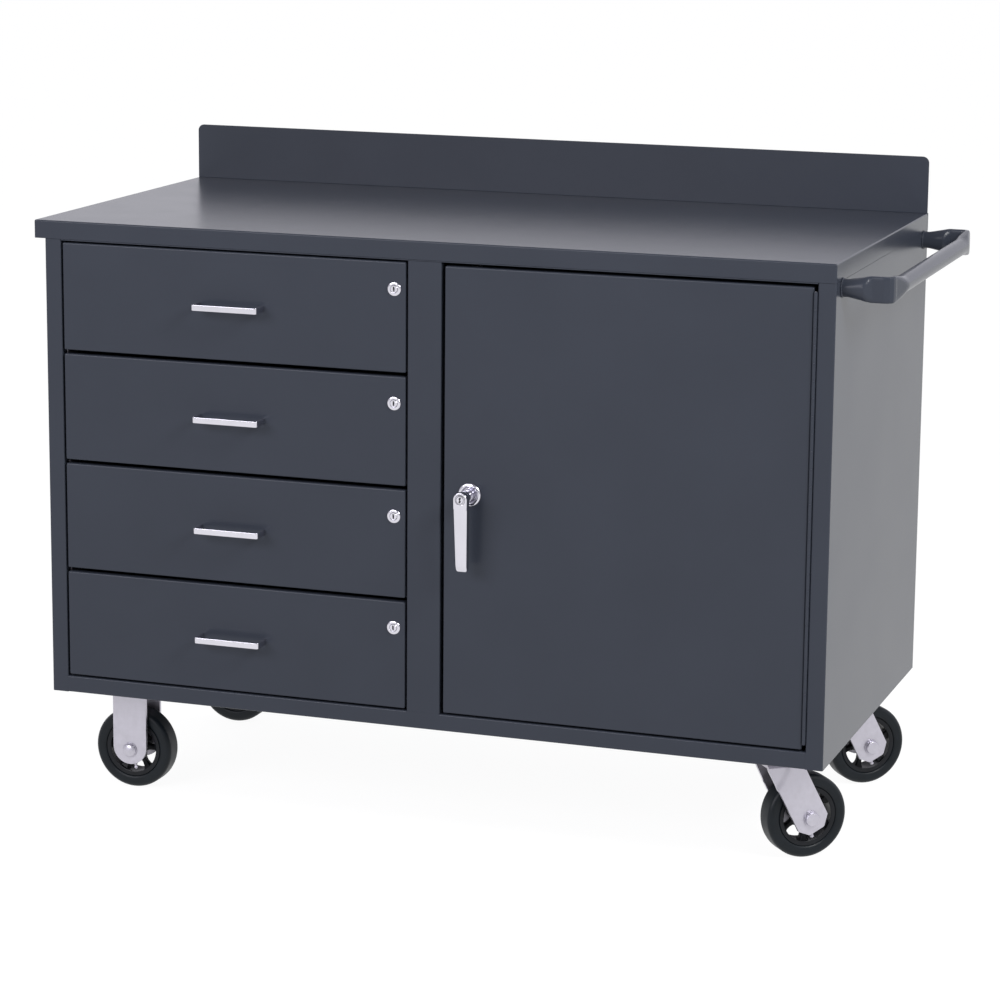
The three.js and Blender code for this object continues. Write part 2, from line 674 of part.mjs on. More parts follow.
// Turning half: crown around the kingpin and two legs raked back to the axle.
function swivelFork() {
  const crownTop = 154.5;
  const crownBottom = 146;
  const rake = Math.atan2(SWIVEL_TRAIL, crownBottom - WHEEL_RADIUS);
  const half = SWIVEL_LEG_HALF;
  const topHalf = half / Math.cos(rake);
  // Across the leg and down along it from the axle.
  const at = (across, down) => [
    SWIVEL_TRAIL + across * Math.cos(rake) + down * Math.sin(rake),
    WHEEL_RADIUS + across * Math.sin(rake) - down * Math.cos(rake),
  ];
  const leg = outline([
    [-topHalf, crownBottom + 1],
    at(-half, SWIVEL_LEG_END / 3),
    at(-half / 2, SWIVEL_LEG_END),
    at(half / 2, SWIVEL_LEG_END),
    at(half, SWIVEL_LEG_END / 3),
    [topHalf, crownBottom + 1],
  ]);
  const crown = bar("z", 0, 0, 34, crownBottom, crownTop, 16);
  const bridge = block(-topHalf, topHalf, -LEG_OUTER, LEG_OUTER, crownBottom, crownBottom + 5);
  const kingpinHole = bar("z", 0, 0, 7.6, crownBottom - 1, crownTop + 1);
  return joined([crown, bridge, ...legPair(leg)]).subtract(kingpinHole).subtract(axleHole(SWIVEL_TRAIL));
}

// Closed ring turned about the axle from its section in (radius, width).
function ring(section, sides) {
  const points = [...section, section[0]].map(([radius, y]) => new THREE.Vector2(radius, y));
  return new THREE.LatheGeometry(points, sides, Math.PI / sides);
}

// The tyre stands on a flat of its polygon, so its radius is taken to the flats.
function tyre() {
  const w = TYRE_HALF_WIDTH;
  const r = WHEEL_RADIUS / Math.cos(Math.PI / WHEEL_SIDES);
  const section = [
    [TYRE_INNER_RADIUS, -w + 2],
    [r - 7, -w],
    [r - 2, -w + 1.5],
    [r, -w + 6],
    [r, w - 6],
    [r - 2, w - 1.5],
    [r - 7, w],
    [TYRE_INNER_RADIUS, w - 2],
  ];
  return solid(ring(section, WHEEL_SIDES));
}

function wheelCore() {
  const rimHalf = TYRE_HALF_WIDTH - 2;
  const rim = solid(
    ring(
      [
        [RIM_RADIUS - 6, -rimHalf],
        [RIM_RADIUS, -rimHalf],
        [RIM_RADIUS, rimHalf],
        [RIM_RADIUS - 6, rimHalf],
      ],
      WHEEL_SIDES,
    ),
  );
  const hub = bar("y", 0, 0, HUB_RADIUS, -HUB_HALF_LENGTH, HUB_HALF_LENGTH);
  const spokes = Array.from({ length: SPOKES }, (_, index) => {
    const geometry = new THREE.BoxGeometry(RIM_RADIUS - 12, 12, 9);
    geometry.translate((RIM_RADIUS - 12) / 2 + 8, 0, 0);
    geometry.rotateY((index * 2 * Math.PI) / SPOKES);
    return solid(geometry);
  });
  const bore = bar("y", 0, 0, AXLE_RADIUS + 0.8, -HUB_HALF_LENGTH - 1, HUB_HALF_LENGTH + 1);
  return joined([rim, hub, ...spokes]).subtract(bore);
}

function axle() {
  const shank = bar("y", 0, 0, AXLE_RADIUS, -LEG_OUTER - 4, LEG_OUTER + 9);
  const head = bar("y", 0, 0, 11, -LEG_OUTER - GAP - 7, -LEG_OUTER - GAP, 6);
  const nut = bar("y", 0, 0, 11, LEG_OUTER + GAP, LEG_OUTER + GAP + 7, 6);
  return joined([shank, head, nut]);
}

function addWheel(caster, label, trail) {
  const wheel = new THREE.Group();
  wheel.position.set(trail, 0, WHEEL_RADIUS);
  piece(wheel, `tyre_${label}`, tyre(), rubber);
  piece(wheel, `wheel_core_${label}`, wheelCore(), castIron);
  piece(wheel, `axle_${label}`, axle(), galvanised);
  caster.add(wheel);
}

function addCasters(bench) {
  const rows = [
    ["front", CASTER_INSET],
    ["rear", BACK - CASTER_INSET],
  ];
  for (const [row, y] of rows) {
    const rigid = new THREE.Group();
    rigid.position.set(-CASTER_X, y, 0);
    piece(rigid, `rigid_fork_${row}`, rigidFork(), galvanised);
    addWheel(rigid, `rigid_${row}`, 0);
    const plate = new THREE.Group();
    plate.position.set(CASTER_X, y, 0);
    piece(plate, `swivel_plate_${row}`, swivelPlate(), galvanised);
    const swivel = new THREE.Group();
    swivel.rotation.z = SWIVEL_REST_ANGLE;
    piece(swivel, `swivel_fork_${row}`, swivelFork(), galvanised);
    addWheel(swivel, `swivel_${row}`, SWIVEL_TRAIL);
    plate.add(swivel);
    bench.add(rigid, plate);
  }
}

// Assembly.

const bench = new THREE.Group();
piece(bench, "left_end_panel", leftEndPanel(), powderCoat);
piece(bench, "right_end_panel", rightEndPanel(), powderCoat);
piece(
  bench,
  "back_panel",
  block(
    LEFT + SHEET + GAP, RIGHT - SHEET - GAP, BACK_PANEL_FRONT, BACK_PANEL_FRONT + SHEET,
    CASTER_HEIGHT, TOP_UNDERSIDE - GAP,
  ),
  powderCoat,
);
piece(bench, "bottom_panel", bottomPanel(), powderCoat);
piece(bench, "center_partition", centrePartition(), powderCoat);
piece(bench, "front_header", frontHeader(), powderCoat);
piece(bench, "work_top", workTop(), powderCoat);
piece(bench, "backsplash", backsplash(), powderCoat);
piece(bench, "push_handle", pushHandle(), powderCoat);
piece(bench, "shelf", shelf(), powderCoat);
piece(bench, "slide_rack_left", slideRack(-1), galvanised);
piece(bench, "slide_rack_right", slideRack(1), galvanised);
addDrawers(bench);
addDoor(bench);
addCasters(bench);

const extent = new THREE.Box3().setFromObject(bench);
const middle = extent.getCenter(new THREE.Vector3());
bench.position.set(-middle.x, -middle.y, -extent.min.z);

export default bench;
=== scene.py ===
"""Looks of the mobile steel workbench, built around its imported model.

Metres, +Z up, the front faces -Y. Sheet-metal pieces are open surfaces folded along their outer face and
given their thickness afterwards; turned pieces are lathed; every place comes from the frame.
"""

from math import asin, atan2, copysign, cos, degrees, pi, radians, sin, sqrt, tan

import bmesh
import bpy
from mathutils import Matrix, Vector


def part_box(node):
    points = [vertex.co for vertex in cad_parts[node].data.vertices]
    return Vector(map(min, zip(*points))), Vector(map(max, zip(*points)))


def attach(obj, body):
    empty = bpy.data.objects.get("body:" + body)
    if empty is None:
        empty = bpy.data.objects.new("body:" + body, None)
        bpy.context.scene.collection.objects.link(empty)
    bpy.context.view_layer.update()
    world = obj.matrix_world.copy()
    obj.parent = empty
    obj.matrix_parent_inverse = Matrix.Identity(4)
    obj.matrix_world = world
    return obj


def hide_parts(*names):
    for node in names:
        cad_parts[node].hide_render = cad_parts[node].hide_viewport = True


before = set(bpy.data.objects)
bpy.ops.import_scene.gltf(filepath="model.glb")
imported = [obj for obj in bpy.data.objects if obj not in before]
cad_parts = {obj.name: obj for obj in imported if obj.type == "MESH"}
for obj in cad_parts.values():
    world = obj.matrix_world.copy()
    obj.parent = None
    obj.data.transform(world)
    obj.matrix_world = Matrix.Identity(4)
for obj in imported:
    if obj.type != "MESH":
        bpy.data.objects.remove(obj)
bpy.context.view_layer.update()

MM = 0.001
SHEET = 1.5 * MM
THIN = 1.2 * MM
GAP = 0.3 * MM  # between pieces that touch
FOLD = 2.4 * MM  # outer radius of a fold
CUT_EDGE = 0.3 * MM  # rounding of a cut edge
WELD = 0.04 * MM  # what is left of a seam that is welded and ground flush
LIP = 14 * MM  # returns behind the face frame
FRONT_CLEARANCE = 3 * MM
MIDDLE_STILE = 52 * MM
HINGE_SPACE = 6 * MM
DRAWERS = range(1, 5)
SHARP = radians(38)  # edges that turn further than this are rounded and stay crisp


class Place:
    """A CAD node's box at rest, with its sides and middle by name."""

    def __init__(self, node):
        low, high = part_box(node)
        self.left, self.front, self.low = low
        self.right, self.back, self.high = high
        self.x, self.y, self.z = (low + high) / 2


# Materials.

NOISE_RANGE = (0.3, 0.7)  # the noise values that carry its pattern


def set_inputs(node, values):
    for name, value in values.items():
        node.inputs[name].default_value = value


def new_node(tree, kind, values=None, feeds=None):
    """A shader node with its input values, and with inputs fed from other nodes' outputs."""
    made = tree.nodes.new(kind)
    set_inputs(made, values or {})
    for name, source in (feeds or {}).items():
        tree.links.new(source, made.inputs[name])
    return made


def remap(tree, value, start, stop, low, high, kind="LINEAR"):
    """A number that goes from low to high while value goes from start to stop."""
    limits = {"From Min": start, "From Max": stop, "To Min": low, "To Max": high}
    made = new_node(tree, "ShaderNodeMapRange", limits, {"Value": value})
    made.interpolation_type = kind
    return made.outputs["Result"]


def noise(tree, vector, scale, detail):
    made = new_node(tree, "ShaderNodeTexNoise", {"Scale": scale, "Detail": detail}, {"Vector": vector})
    return made.outputs["Fac"]


def new_material(name, values):
    """A material and its shader."""
    made = bpy.data.materials.new(name)
    made.use_nodes = True
    shader = made.node_tree.nodes["Principled BSDF"]
    set_inputs(shader, values)
    return made, shader


def textured(name, slot, colour, roughness, metallic, cloud, grain, ior=1.45):
    """A finish: its material and its slot. cloud is (scale, colour change, roughness change) and grain is
    (scale, height in millimetres, strength)."""
    values = {"Base Color": (*colour, 1), "Roughness": roughness, "Metallic": metallic, "IOR": ior}
    made, shader = new_material(name, values)
    tree = made.node_tree
    places = tree.nodes.new("ShaderNodeTexCoord").outputs["Object"]
    cloud_scale, colour_change, roughness_change = cloud
    patches = noise(tree, places, cloud_scale, 4.0)
    tint = new_node(tree, "ShaderNodeValToRGB", feeds={"Fac": patches})
    for way, stop, position in zip((-1, 1), tint.color_ramp.elements, NOISE_RANGE):
        stop.position = position
        stop.color = (*(channel * (1 + way * colour_change) for channel in colour), 1)
    tree.links.new(tint.outputs["Color"], shader.inputs["Base Color"])
    polish = remap(tree, patches, *NOISE_RANGE, roughness - roughness_change, roughness + roughness_change)
    tree.links.new(polish, shader.inputs["Roughness"])
    grain_scale, height, strength = grain
    relief = noise(tree, places, grain_scale, 2.0)
    depth = {"Strength": strength, "Distance": height * MM}
    bump = new_node(tree, "ShaderNodeBump", depth, {"Height": relief})
    tree.links.new(bump.outputs["Normal"], shader.inputs["Normal"])
    return made, slot


FINISHES = {
    "powder": textured(
        "slate powder coat", "powder_coat", (0.0272, 0.0315, 0.0425), 0.26, 0.0,
        (9, 0.03, 0.01), (750, 0.03, 0.1), ior=1.28,
    ),
    "chrome": textured(
        "chrome plate", "chrome", (0.66, 0.65, 0.71), 0.15, 1.0, (60, 0.02, 0.03), (900, 0.004, 0.2)
    ),
    "zinc": textured(
        "zinc plate", "zinc_plate", (0.50, 0.485, 0.54), 0.40, 0.9, (120, 0.05, 0.06), (1400, 0.01, 0.3)
    ),
    "rubber": textured(
        "rubber tread", "rubber_tread", (0.0045, 0.007, 0.0095), 0.42, 0.0,
        (70, 0.15, 0.05), (1500, 0.02, 0.3), ior=1.3,
    ),
    "cast": textured(
        "painted cast core", "cast_core", (0.006, 0.007, 0.009), 0.45, 0.0,
        (90, 0.2, 0.08), (600, 0.08, 0.5), ior=1.3,
    ),
}


# Lines and surfaces.


def at(axis, a, b, along):
    """A section point: (y, z) along x, (x, z) along y, or (x, y) along z."""
    return {"x": (along, a, b), "y": (a, along, b), "z": (a, b, along)}[axis]


def in_mm(points, along=0.0):
    """2D points from millimetres, the second number counted from along."""
    return [(a * MM, along + b * MM) for a, b in points]


def ramp(start, stop, value):
    """0 at start, 1 at stop."""
    return max(0.0, min(1.0, (value - start) / (stop - start)))


def arc(centre, radius, start, stop, steps):
    """Points of a 2D arc, angles in degrees."""
    angles = [radians(start + (stop - start) * k / steps) for k in range(steps + 1)]
    return [(centre[0] + radius * cos(t), centre[1] + radius * sin(t)) for t in angles]


def hexagon(radius):
    return arc((0, 0), radius, 0, 300, 5)


def rounded_line(points, radius, closed=False, steps=5):
    """A 2D line with its corners rounded. radius is one number, or one for each point."""
    count = len(points)
    radii = radius if isinstance(radius, (list, tuple)) else [radius] * count
    line = []
    for index, point in enumerate(points):
        corner = Vector(point)
        if radii[index] <= 0 or (not closed and index in (0, count - 1)):
            line.append(tuple(corner))
            continue
        back = (Vector(points[index - 1]) - corner).normalized()
        ahead = (Vector(points[(index + 1) % count]) - corner).normalized()
        half = back.angle(ahead) / 2
        centre = corner + (back + ahead).normalized() * (radii[index] / sin(half))
        reach = radii[index] / tan(half)
        first = corner + back * reach - centre
        last = corner + ahead * reach - centre
        start = degrees(atan2(first.y, first.x))
        turn = degrees(atan2(last.y, last.x)) - start
        turn = (turn + 180) % 360 - 180
        line += arc(centre, radii[index], start, start + turn, steps)
    return line


def box_outline(left, right, low, high, radius=0.0):
    corners = [(left, low), (right, low), (right, high), (left, high)]
    return rounded_line(corners, radius, closed=True) if radius else corners


def hat_line(middle, foot, crown, seat, crest, radii):
    """A hat section, symmetrical about middle: its feet on seat, its crown on crest."""
    half = [(-foot, seat), (-crown, seat), (-crown, crest)]
    points = half + [(-across, height) for across, height in reversed(half)]
    return rounded_line([(middle + across, height) for across, height in points], [*radii, *reversed(radii)])


def strip(section, axis, stations, keep=None, welded=None):
    """An open surface: the section carried along an axis. Its faces look to the right of the line. Between
    the two stations in welded it follows a second section, such as one with a filled corner."""
    mesh = bmesh.new()
    rows = []
    for station in stations:
        line = section
        if welded and welded[1] - 0.01 * MM < station < welded[2] + 0.01 * MM:
            line = welded[0]
        rows.append([mesh.verts.new(at(axis, a, b, station)) for a, b in line])
    for near, far, s0, s1 in zip(rows, rows[1:], stations, stations[1:]):
        for k in range(len(section) - 1):
            middle = ((section[k][0] + section[k + 1][0]) / 2, (section[k][1] + section[k + 1][1]) / 2)
            if keep and not keep(*middle, (s0 + s1) / 2):
                continue
            corners = [near[k], near[k + 1], far[k + 1], far[k]]
            mesh.faces.new(corners[::-1] if axis == "y" else corners)
    loose = [v for v in mesh.verts if not v.link_faces]
    bmesh.ops.delete(mesh, geom=loose, context="VERTS")
    return mesh


def loft(rings, closed=False, capped=False):
    """A surface through rings of points, led back to its first ring or capped at both ends. A ring of one
    point ends it in that point."""
    mesh = bmesh.new()
    rows = [[mesh.verts.new(point) for point in ring] for ring in rings]
    if capped:
        mesh.faces.new(rows[0])
        mesh.faces.new(rows[-1][::-1])
    for near, far in zip(rows, rows[1:] + (rows[:1] if closed else [])):
        for k in range(max(len(near), len(far))):
            corners = [near[k % len(near)], far[k % len(far)]]
            corners += [far[(k + 1) % len(far)], near[(k + 1) % len(near)]]
            mesh.faces.new(list(dict.fromkeys(corners)))
    bmesh.ops.recalc_face_normals(mesh, faces=mesh.faces)
    return mesh


def prism(outline, axis, start, end):
    return loft([[at(axis, a, b, station) for a, b in outline] for station in (start, end)], capped=True)


def lathe(profile, axis, ring=False, sides=48):
    """Turned about an axis through the origin from (radius, along) points: from axis to axis, or a ring."""
    rings = []
    for radius, along in profile:
        count = sides if radius > 0 else 1
        angles = [2 * pi * k / count for k in range(count)]
        rings.append([at(axis, radius * cos(t), radius * sin(t), along) for t in angles])
    return loft(rings, closed=ring)


def rod(radius, start, end, axis="y", sides=48):
    return lathe([(0, start), (radius, start), (radius, end), (0, end)], axis, sides=sides)


def tube(inner, outer, start, end):
    return lathe([(inner, start), (outer, start), (outer, end), (inner, end)], "y", ring=True)


def moved(mesh, x=0.0, y=0.0, z=0.0, matrix=None):
    bmesh.ops.transform(mesh, matrix=matrix or Matrix.Translation((x, y, z)), verts=mesh.verts)
    return mesh


def together(*meshes):
    """One mesh from several, which are used up."""
    total = bmesh.new()
    for mesh in meshes:
        data = bpy.data.meshes.new("part")
        mesh.to_mesh(data)
        mesh.free()
        total.from_mesh(data)
        bpy.data.meshes.remove(data)
    return total


def turned_over(mesh):
    bmesh.ops.reverse_faces(mesh, faces=mesh.faces)
    return mesh


def facing_outwards(mesh, middle):
    """The mesh with its largest face looking away from its middle."""
    largest = max(mesh.faces, key=lambda f: f.calc_area())
    outwards = largest.normal.dot(largest.calc_center_median() - middle) > 0
    return mesh if outwards else turned_over(mesh)


def at_side(side):
    """The direction that a side such as '+y' or '-z' faces."""
    way = Vector((0, 0, 0))
    way["xyz".index(side[1])] = 1 if side[0] == "+" else -1
    return way


def tray(place, open_sides, curl=(), fold=FOLD, inset=0.0):
    """A place's box without its open sides, its edges folded round, and inset from its left and right.
    Each curl moves the last open rim inwards by its first number and back into the box by its second,
    which makes a lip."""
    low = Vector((place.left + inset, place.front, place.low))
    high = Vector((place.right - inset, place.back, place.high))
    mesh = prism(box_outline(low.x, high.x, low.y, high.y), "z", low.z, high.z)
    for side in open_sides:
        away = [f for f in mesh.faces if f.normal.dot(at_side(side)) > 0.9]
        bmesh.ops.delete(mesh, geom=away, context="FACES_ONLY")
    loose_edges = [e for e in mesh.edges if not e.link_faces]
    bmesh.ops.delete(mesh, geom=loose_edges, context="EDGES")
    middle = (low + high) / 2
    way = at_side(open_sides[0])
    for inwards, down in curl:
        rim = [e for e in mesh.edges if e.is_boundary]
        grown = bmesh.ops.extrude_edge_only(mesh, edges=rim)["geom"]
        for vert in (g for g in grown if isinstance(g, bmesh.types.BMVert)):
            for k in range(3):
                if not way[k]:
                    vert.co[k] -= inwards * copysign(1, vert.co[k] - middle[k])
            vert.co -= way * down
    bmesh.ops.recalc_face_normals(mesh, faces=mesh.faces)
    facing_outwards(mesh, middle)
    folds = [e for e in mesh.edges if len(e.link_faces) == 2 and e.calc_face_angle() > SHARP]
    bmesh.ops.bevel(mesh, geom=folds, offset=fold, segments=5, profile=0.5, affect="EDGES")
    return mesh


# Objects.


def in_scene(name, data):
    made = bpy.data.objects.new(name, data)
    bpy.context.scene.collection.objects.link(made)
    return made


def new_object(name, mesh):
    data = bpy.data.meshes.new(name)
    mesh.to_mesh(data)
    mesh.free()
    return in_scene(name, data)


def modify(made, kind, **settings):
    modifier = made.modifiers.new(kind.lower(), kind)
    for name, value in settings.items():
        setattr(modifier, name, value)


def settle(made):
    """Turns the object's modifiers into its mesh."""
    bpy.context.view_layer.update()
    graph = bpy.context.evaluated_depsgraph_get()
    data = bpy.data.meshes.new_from_object(made.evaluated_get(graph), depsgraph=graph)
    made.modifiers.clear()
    made.data = data


def add(name, mesh, body, finish, stands_for=(), thick=0.0, side=-1, holes=(), edge=CUT_EDGE, segments=2):
    """A piece of the bench. thick is the sheet's thickness and side the way it grows from the surface:
    -1 behind its faces, +1 in front of them. holes are closed meshes to cut away."""
    made = new_object(name, mesh)
    if thick:
        modify(made, "SOLIDIFY", thickness=thick, offset=side, use_even_offset=True)
    cutters = [new_object("cutter", hole) for hole in holes]
    for cutter in cutters:
        modify(made, "BOOLEAN", operation="DIFFERENCE", solver="EXACT", object=cutter)
    if edge:
        modify(made, "BEVEL", limit_method="ANGLE", angle_limit=SHARP, width=edge, segments=segments)
    if made.modifiers:
        settle(made)
    for cutter in cutters:
        bpy.data.objects.remove(cutter)
    made.data.shade_smooth()
    made.data.set_sharp_from_angle(angle=SHARP)
    modify(made, "WEIGHTED_NORMAL", keep_sharp=True)
    material, slot = FINISHES[finish]
    made.data.materials.clear()
    made.data.materials.append(material)
    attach(made, body)
    if stands_for:
        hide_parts(*stands_for)
    return made


def cad_copy(node):
    """A CAD node's mesh with its flat faces whole again."""
    mesh = bmesh.new()
    mesh.from_mesh(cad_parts[node].data)
    bmesh.ops.remove_doubles(mesh, verts=mesh.verts, dist=0.01 * MM)
    bmesh.ops.dissolve_limit(
        mesh, angle_limit=radians(1), verts=mesh.verts, edges=mesh.edges, use_dissolve_boundaries=False
    )
    return mesh


# Cabinet.

bottom = Place("bottom_panel")
header = Place("front_header")
top = Place("work_top")
door = Place("door_panel")
left_wall = Place("left_end_panel")
right_wall = Place("right_end_panel")
drawers_left = Place("drawer_front_1").left - FRONT_CLEARANCE
stile_left = Place("drawer_front_1").right + FRONT_CLEARANCE
stile_right = stile_left + MIDDLE_STILE
door_right = door.right + HINGE_SPACE
front_face = door.front
SEAM_EDGE = 0.05 * MM  # rounding of an edge that lies in a welded seam


def end_panels():
    """Each end is one sheet: front stile with its return, wall, and a flange at the back. A cleat along
    its top holds the worktop."""
    flange = 20 * MM
    for name, node, place, wall, inward, stile in (
        ("left_end_sheet", "left_end_panel", left_wall, left_wall.left, 1, drawers_left),
        ("right_end_sheet", "right_end_panel", right_wall, right_wall.right, -1, door_right),
    ):
        corners = [(stile, place.front + LIP), (stile, place.front), (wall, place.front)]
        corners += [(wall, place.back), (wall + inward * flange, place.back)]
        filled = rounded_line(corners, [0, WELD, FOLD, FOLD, 0])
        stations = [place.low, bottom.high - GAP, bottom.high, top.low - GAP]
        welded = (filled, place.low, bottom.high - GAP)
        mesh = strip(rounded_line(corners, FOLD), "z", stations, welded=welded)
        add(name, mesh, "root", "powder", [node], SHEET, inward)
    for name, wall, inward, high in (
        ("left_top_cleat", left_wall.left + MM, 1, top.high - SHEET - GAP),
        ("right_top_cleat", right_wall.right - SHEET - GAP, -1, top.low - GAP),
    ):
        section = rounded_line([(wall, top.low - flange), (wall, high), (wall + inward * flange, high)], FOLD)
        mesh = strip(section, "y", [front_face + LIP + GAP, bottom.back - GAP])
        add(name, mesh, "root", "powder", (), SHEET, inward)


def floor_and_rail():
    """The floor folds up into the front rail and its lip, and up again at the back."""
    notch = front_face + LIP + GAP
    corners = [(front_face + LIP, bottom.high), (front_face, bottom.high)]
    corners += [(front_face, bottom.low), (notch, bottom.low)]
    rail = rounded_line(corners, FOLD)
    filled = rounded_line(corners, [0, WELD, FOLD, 0])
    rear = rounded_line([(notch, bottom.low), (bottom.back, bottom.low), (bottom.back, bottom.high)], FOLD)
    rail_left = drawers_left + WELD
    rail_right = door_right - WELD

    def keep(y, z, x):
        return rail_left < x < rail_right or y > notch

    stations = [bottom.left, rail_left, stile_left - GAP, stile_left]
    stations += [stile_right, stile_right + GAP, rail_right, bottom.right]
    mesh = strip(rail + rear[1:], "x", stations, keep, welded=(filled + rear[1:], stile_left, stile_right))
    add("floor_sheet", mesh, "root", "powder", ["bottom_panel"], SHEET, -1, edge=SEAM_EDGE, segments=1)


def partition():
    """The middle stile is a channel; the wall behind it is one sheet with flanges front and back."""
    low = bottom.high + GAP
    high = header.low - GAP
    back_of_stile = front_face + LIP
    corners = [(stile_left, back_of_stile), (stile_left, front_face)]
    corners += [(stile_right, front_face), (stile_right, back_of_stile)]
    mesh = strip(rounded_line(corners, FOLD), "z", [bottom.high + WELD, high])
    add("middle_stile", mesh, "root", "powder", ["center_partition"], SHEET, -1, edge=SEAM_EDGE, segments=1)
    wall = Place("center_partition")
    face = wall.x - SHEET / 2
    flange = face + 18 * MM
    ahead = front_face + SHEET + GAP
    behind = back_of_stile + 4 * MM  # clear of the rail and the header
    section = rounded_line([(flange, ahead), (face, ahead), (face, wall.back), (flange, wall.back)], FOLD)
    first_fold = 7  # points up to the end of the first fold
    section.insert(first_fold, (face, behind))

    def keep(x, y, z):
        return low < z < high or y > behind

    mesh = strip(section, "z", [wall.low, low, high, wall.high], keep)
    add("partition_sheet", mesh, "root", "powder", (), SHEET, 1)


def backsplash():
    """Upright with rounded upper corners, folded back over a ledge and down behind the cabinet."""
    place = Place("backsplash")
    corner = 10 * MM
    under = top.high - SHEET
    inner = place.back - SHEET
    section = rounded_line(
        [(place.front, place.high), (place.front, under), (inner, under), (inner, place.low)],
        [0, FOLD, FOLD - SHEET, 0],
    )
    turn = [corner * (1 - cos(radians(15 * k))) for k in range(7)]
    stations = [place.left + d for d in turn] + [place.right - d for d in reversed(turn)]
    mesh = strip(section, "x", stations)
    for vert in mesh.verts:
        inset = min(vert.co.x - place.left, place.right - vert.co.x)
        if vert.co.z > place.high - GAP and inset < corner:
            vert.co.z -= corner - sqrt(max(0, corner**2 - (corner - inset) ** 2))
    cap = box_outline(place.front, inner - GAP, place.low, under - GAP)
    for x, outline in ((place.left, cap[::-1]), (place.right, cap)):
        mesh.faces.new([mesh.verts.new((x, y, z)) for y, z in outline])
    add("backsplash_sheet", mesh, "root", "powder", ["backsplash"], SHEET, -1)


def shelf():
    """A loose tray on four clips."""
    place = Place("shelf")
    add("shelf_sheet", tray(place, ("-z",)), "root", "powder", ["shelf"], SHEET, -1)
    seat = place.low - GAP
    clips = []
    for x, way in ((place.left, 1), (place.right, -1)):
        for y in (place.front + 40 * MM, place.back - 60 * MM):
            wall = x - way * THIN
            corners = [(wall, place.low - 26 * MM), (wall, seat), (wall + way * 14 * MM, seat)]
            clip = strip(rounded_line(corners, 1.5 * MM), "y", [y, y + 20 * MM])
            clips.append(clip if way > 0 else turned_over(clip))
    add("shelf_clips", together(*clips), "root", "zinc", (), THIN, 1)


def push_handle():
    """Round tube, pressed flat around its two bends, with a weld bead where each arm meets the wall."""
    place = Place("push_handle")
    radius = (place.high - place.low) / 2
    bar_x = place.right - radius
    arms = (place.front + radius, place.back - radius)
    middle = (arms[0] + arms[1]) / 2
    flat_half = 4.4 * MM
    tall_half = 18.8 * MM
    sides = 40
    corner = rounded_line([(place.left, arms[0]), (bar_x, arms[0]), (bar_x, middle)], 9 * MM, steps=3)
    reach = corner[1][0] - place.left
    arm = [(place.left + reach * k / 24, arms[0]) for k in range(24)]
    half_bar = [(bar_x, corner[-2][1] + (middle - corner[-2][1]) * (k / 22) ** 1.8) for k in range(1, 23)]
    half = arm + corner[1:-1] + half_bar
    route = half + [(x, 2 * middle - y) for x, y in reversed(half[:-1])]

    def pressed(x, y, lift):
        """How far the tube is pressed: its height, then its thickness, each from 0 to 1. The press leaves
        a rounded shoulder, which reaches further at mid height."""
        along_arm = bar_x - x
        along_bar = min(y - arms[0], arms[1] - y)
        shoulder = 6 * MM * (1 - lift * lift)
        height = min(ramp(reach, 30 * MM, along_arm), ramp(62 * MM, 12 * MM, along_bar))
        depth = min(ramp(42 * MM, 33 * MM, along_arm + shoulder), ramp(52 * MM, 12 * MM, along_bar))
        return height, depth

    def squared(value, depth):
        """A cosine or sine that makes the circle squarer where the tube is flatter."""
        return copysign(abs(value) ** (2 / (2 + 3 * depth)), value)

    rings = []
    for index, (x, y) in enumerate(route):
        before = Vector(route[max(0, index - 1)])
        after = Vector(route[min(len(route) - 1, index + 1)])
        way = (after - before).normalized()
        across = Vector((way.y, -way.x, 0))
        ring = []
        for k in range(sides):
            turn = 2 * pi * k / sides
            height, depth = pressed(x, y, sin(turn))
            thin = (radius + (flat_half - radius) * depth) * squared(cos(turn), depth)
            tall = (radius + (tall_half - radius) * height) * squared(sin(turn), depth)
            ring.append(Vector((x, y, place.z + tall)) + across * thin)
        rings.append(ring)
    made = add("push_handle_tube", loft(rings, capped=True), "root", "powder", ["push_handle"], edge=0)
    made.data.set_sharp_from_angle(angle=radians(24))
    beads = [weld_bead((place.left + 0.6 * MM, y, place.z), radius + 0.1 * MM) for y in arms]
    add("push_handle_welds", together(*beads), "root", "powder", edge=0)


def weld_bead(centre, radius, thickness=1.2 * MM, ripples=20):
    """A rippled ring about an axis along x."""
    steps = ripples * 4
    rings = []
    for k in range(steps):
        turn = 2 * pi * k / steps
        size = thickness * (1 + 0.25 * cos(ripples * turn) + 0.3 * sin(3 * turn + centre[1] * 40))
        around = arc((radius, 0), size, 0, 324, 9)
        way = Vector((0, cos(turn), sin(turn)))
        rings.append([Vector(centre) + Vector((side, 0, 0)) + way * out for out, side in around])
    return loft(rings, closed=True)


def cabinet():
    end_panels()
    floor_and_rail()
    partition()
    add("header_channel", cad_copy("front_header"), "root", "powder", ["front_header"])
    add("worktop_sheet", tray(top, ("-z", "+y")), "root", "powder", ["work_top"], SHEET, -1)
    backsplash()
    add("back_sheet", cad_copy("back_panel"), "root", "powder", ["back_panel"])
    shelf()
    push_handle()


# Drawers.

SLIDE_DEPTH = 10 * MM
SLIDE_INNER_HALF = 14 * MM
SLIDE_OUTER_HALF = 21 * MM
SLIDE_POST = 35 * MM
SLIDE_FOLD = 1.8 * MM
CAM_HALF = 6.5 * MM
PULL_STRAP = 3 * MM

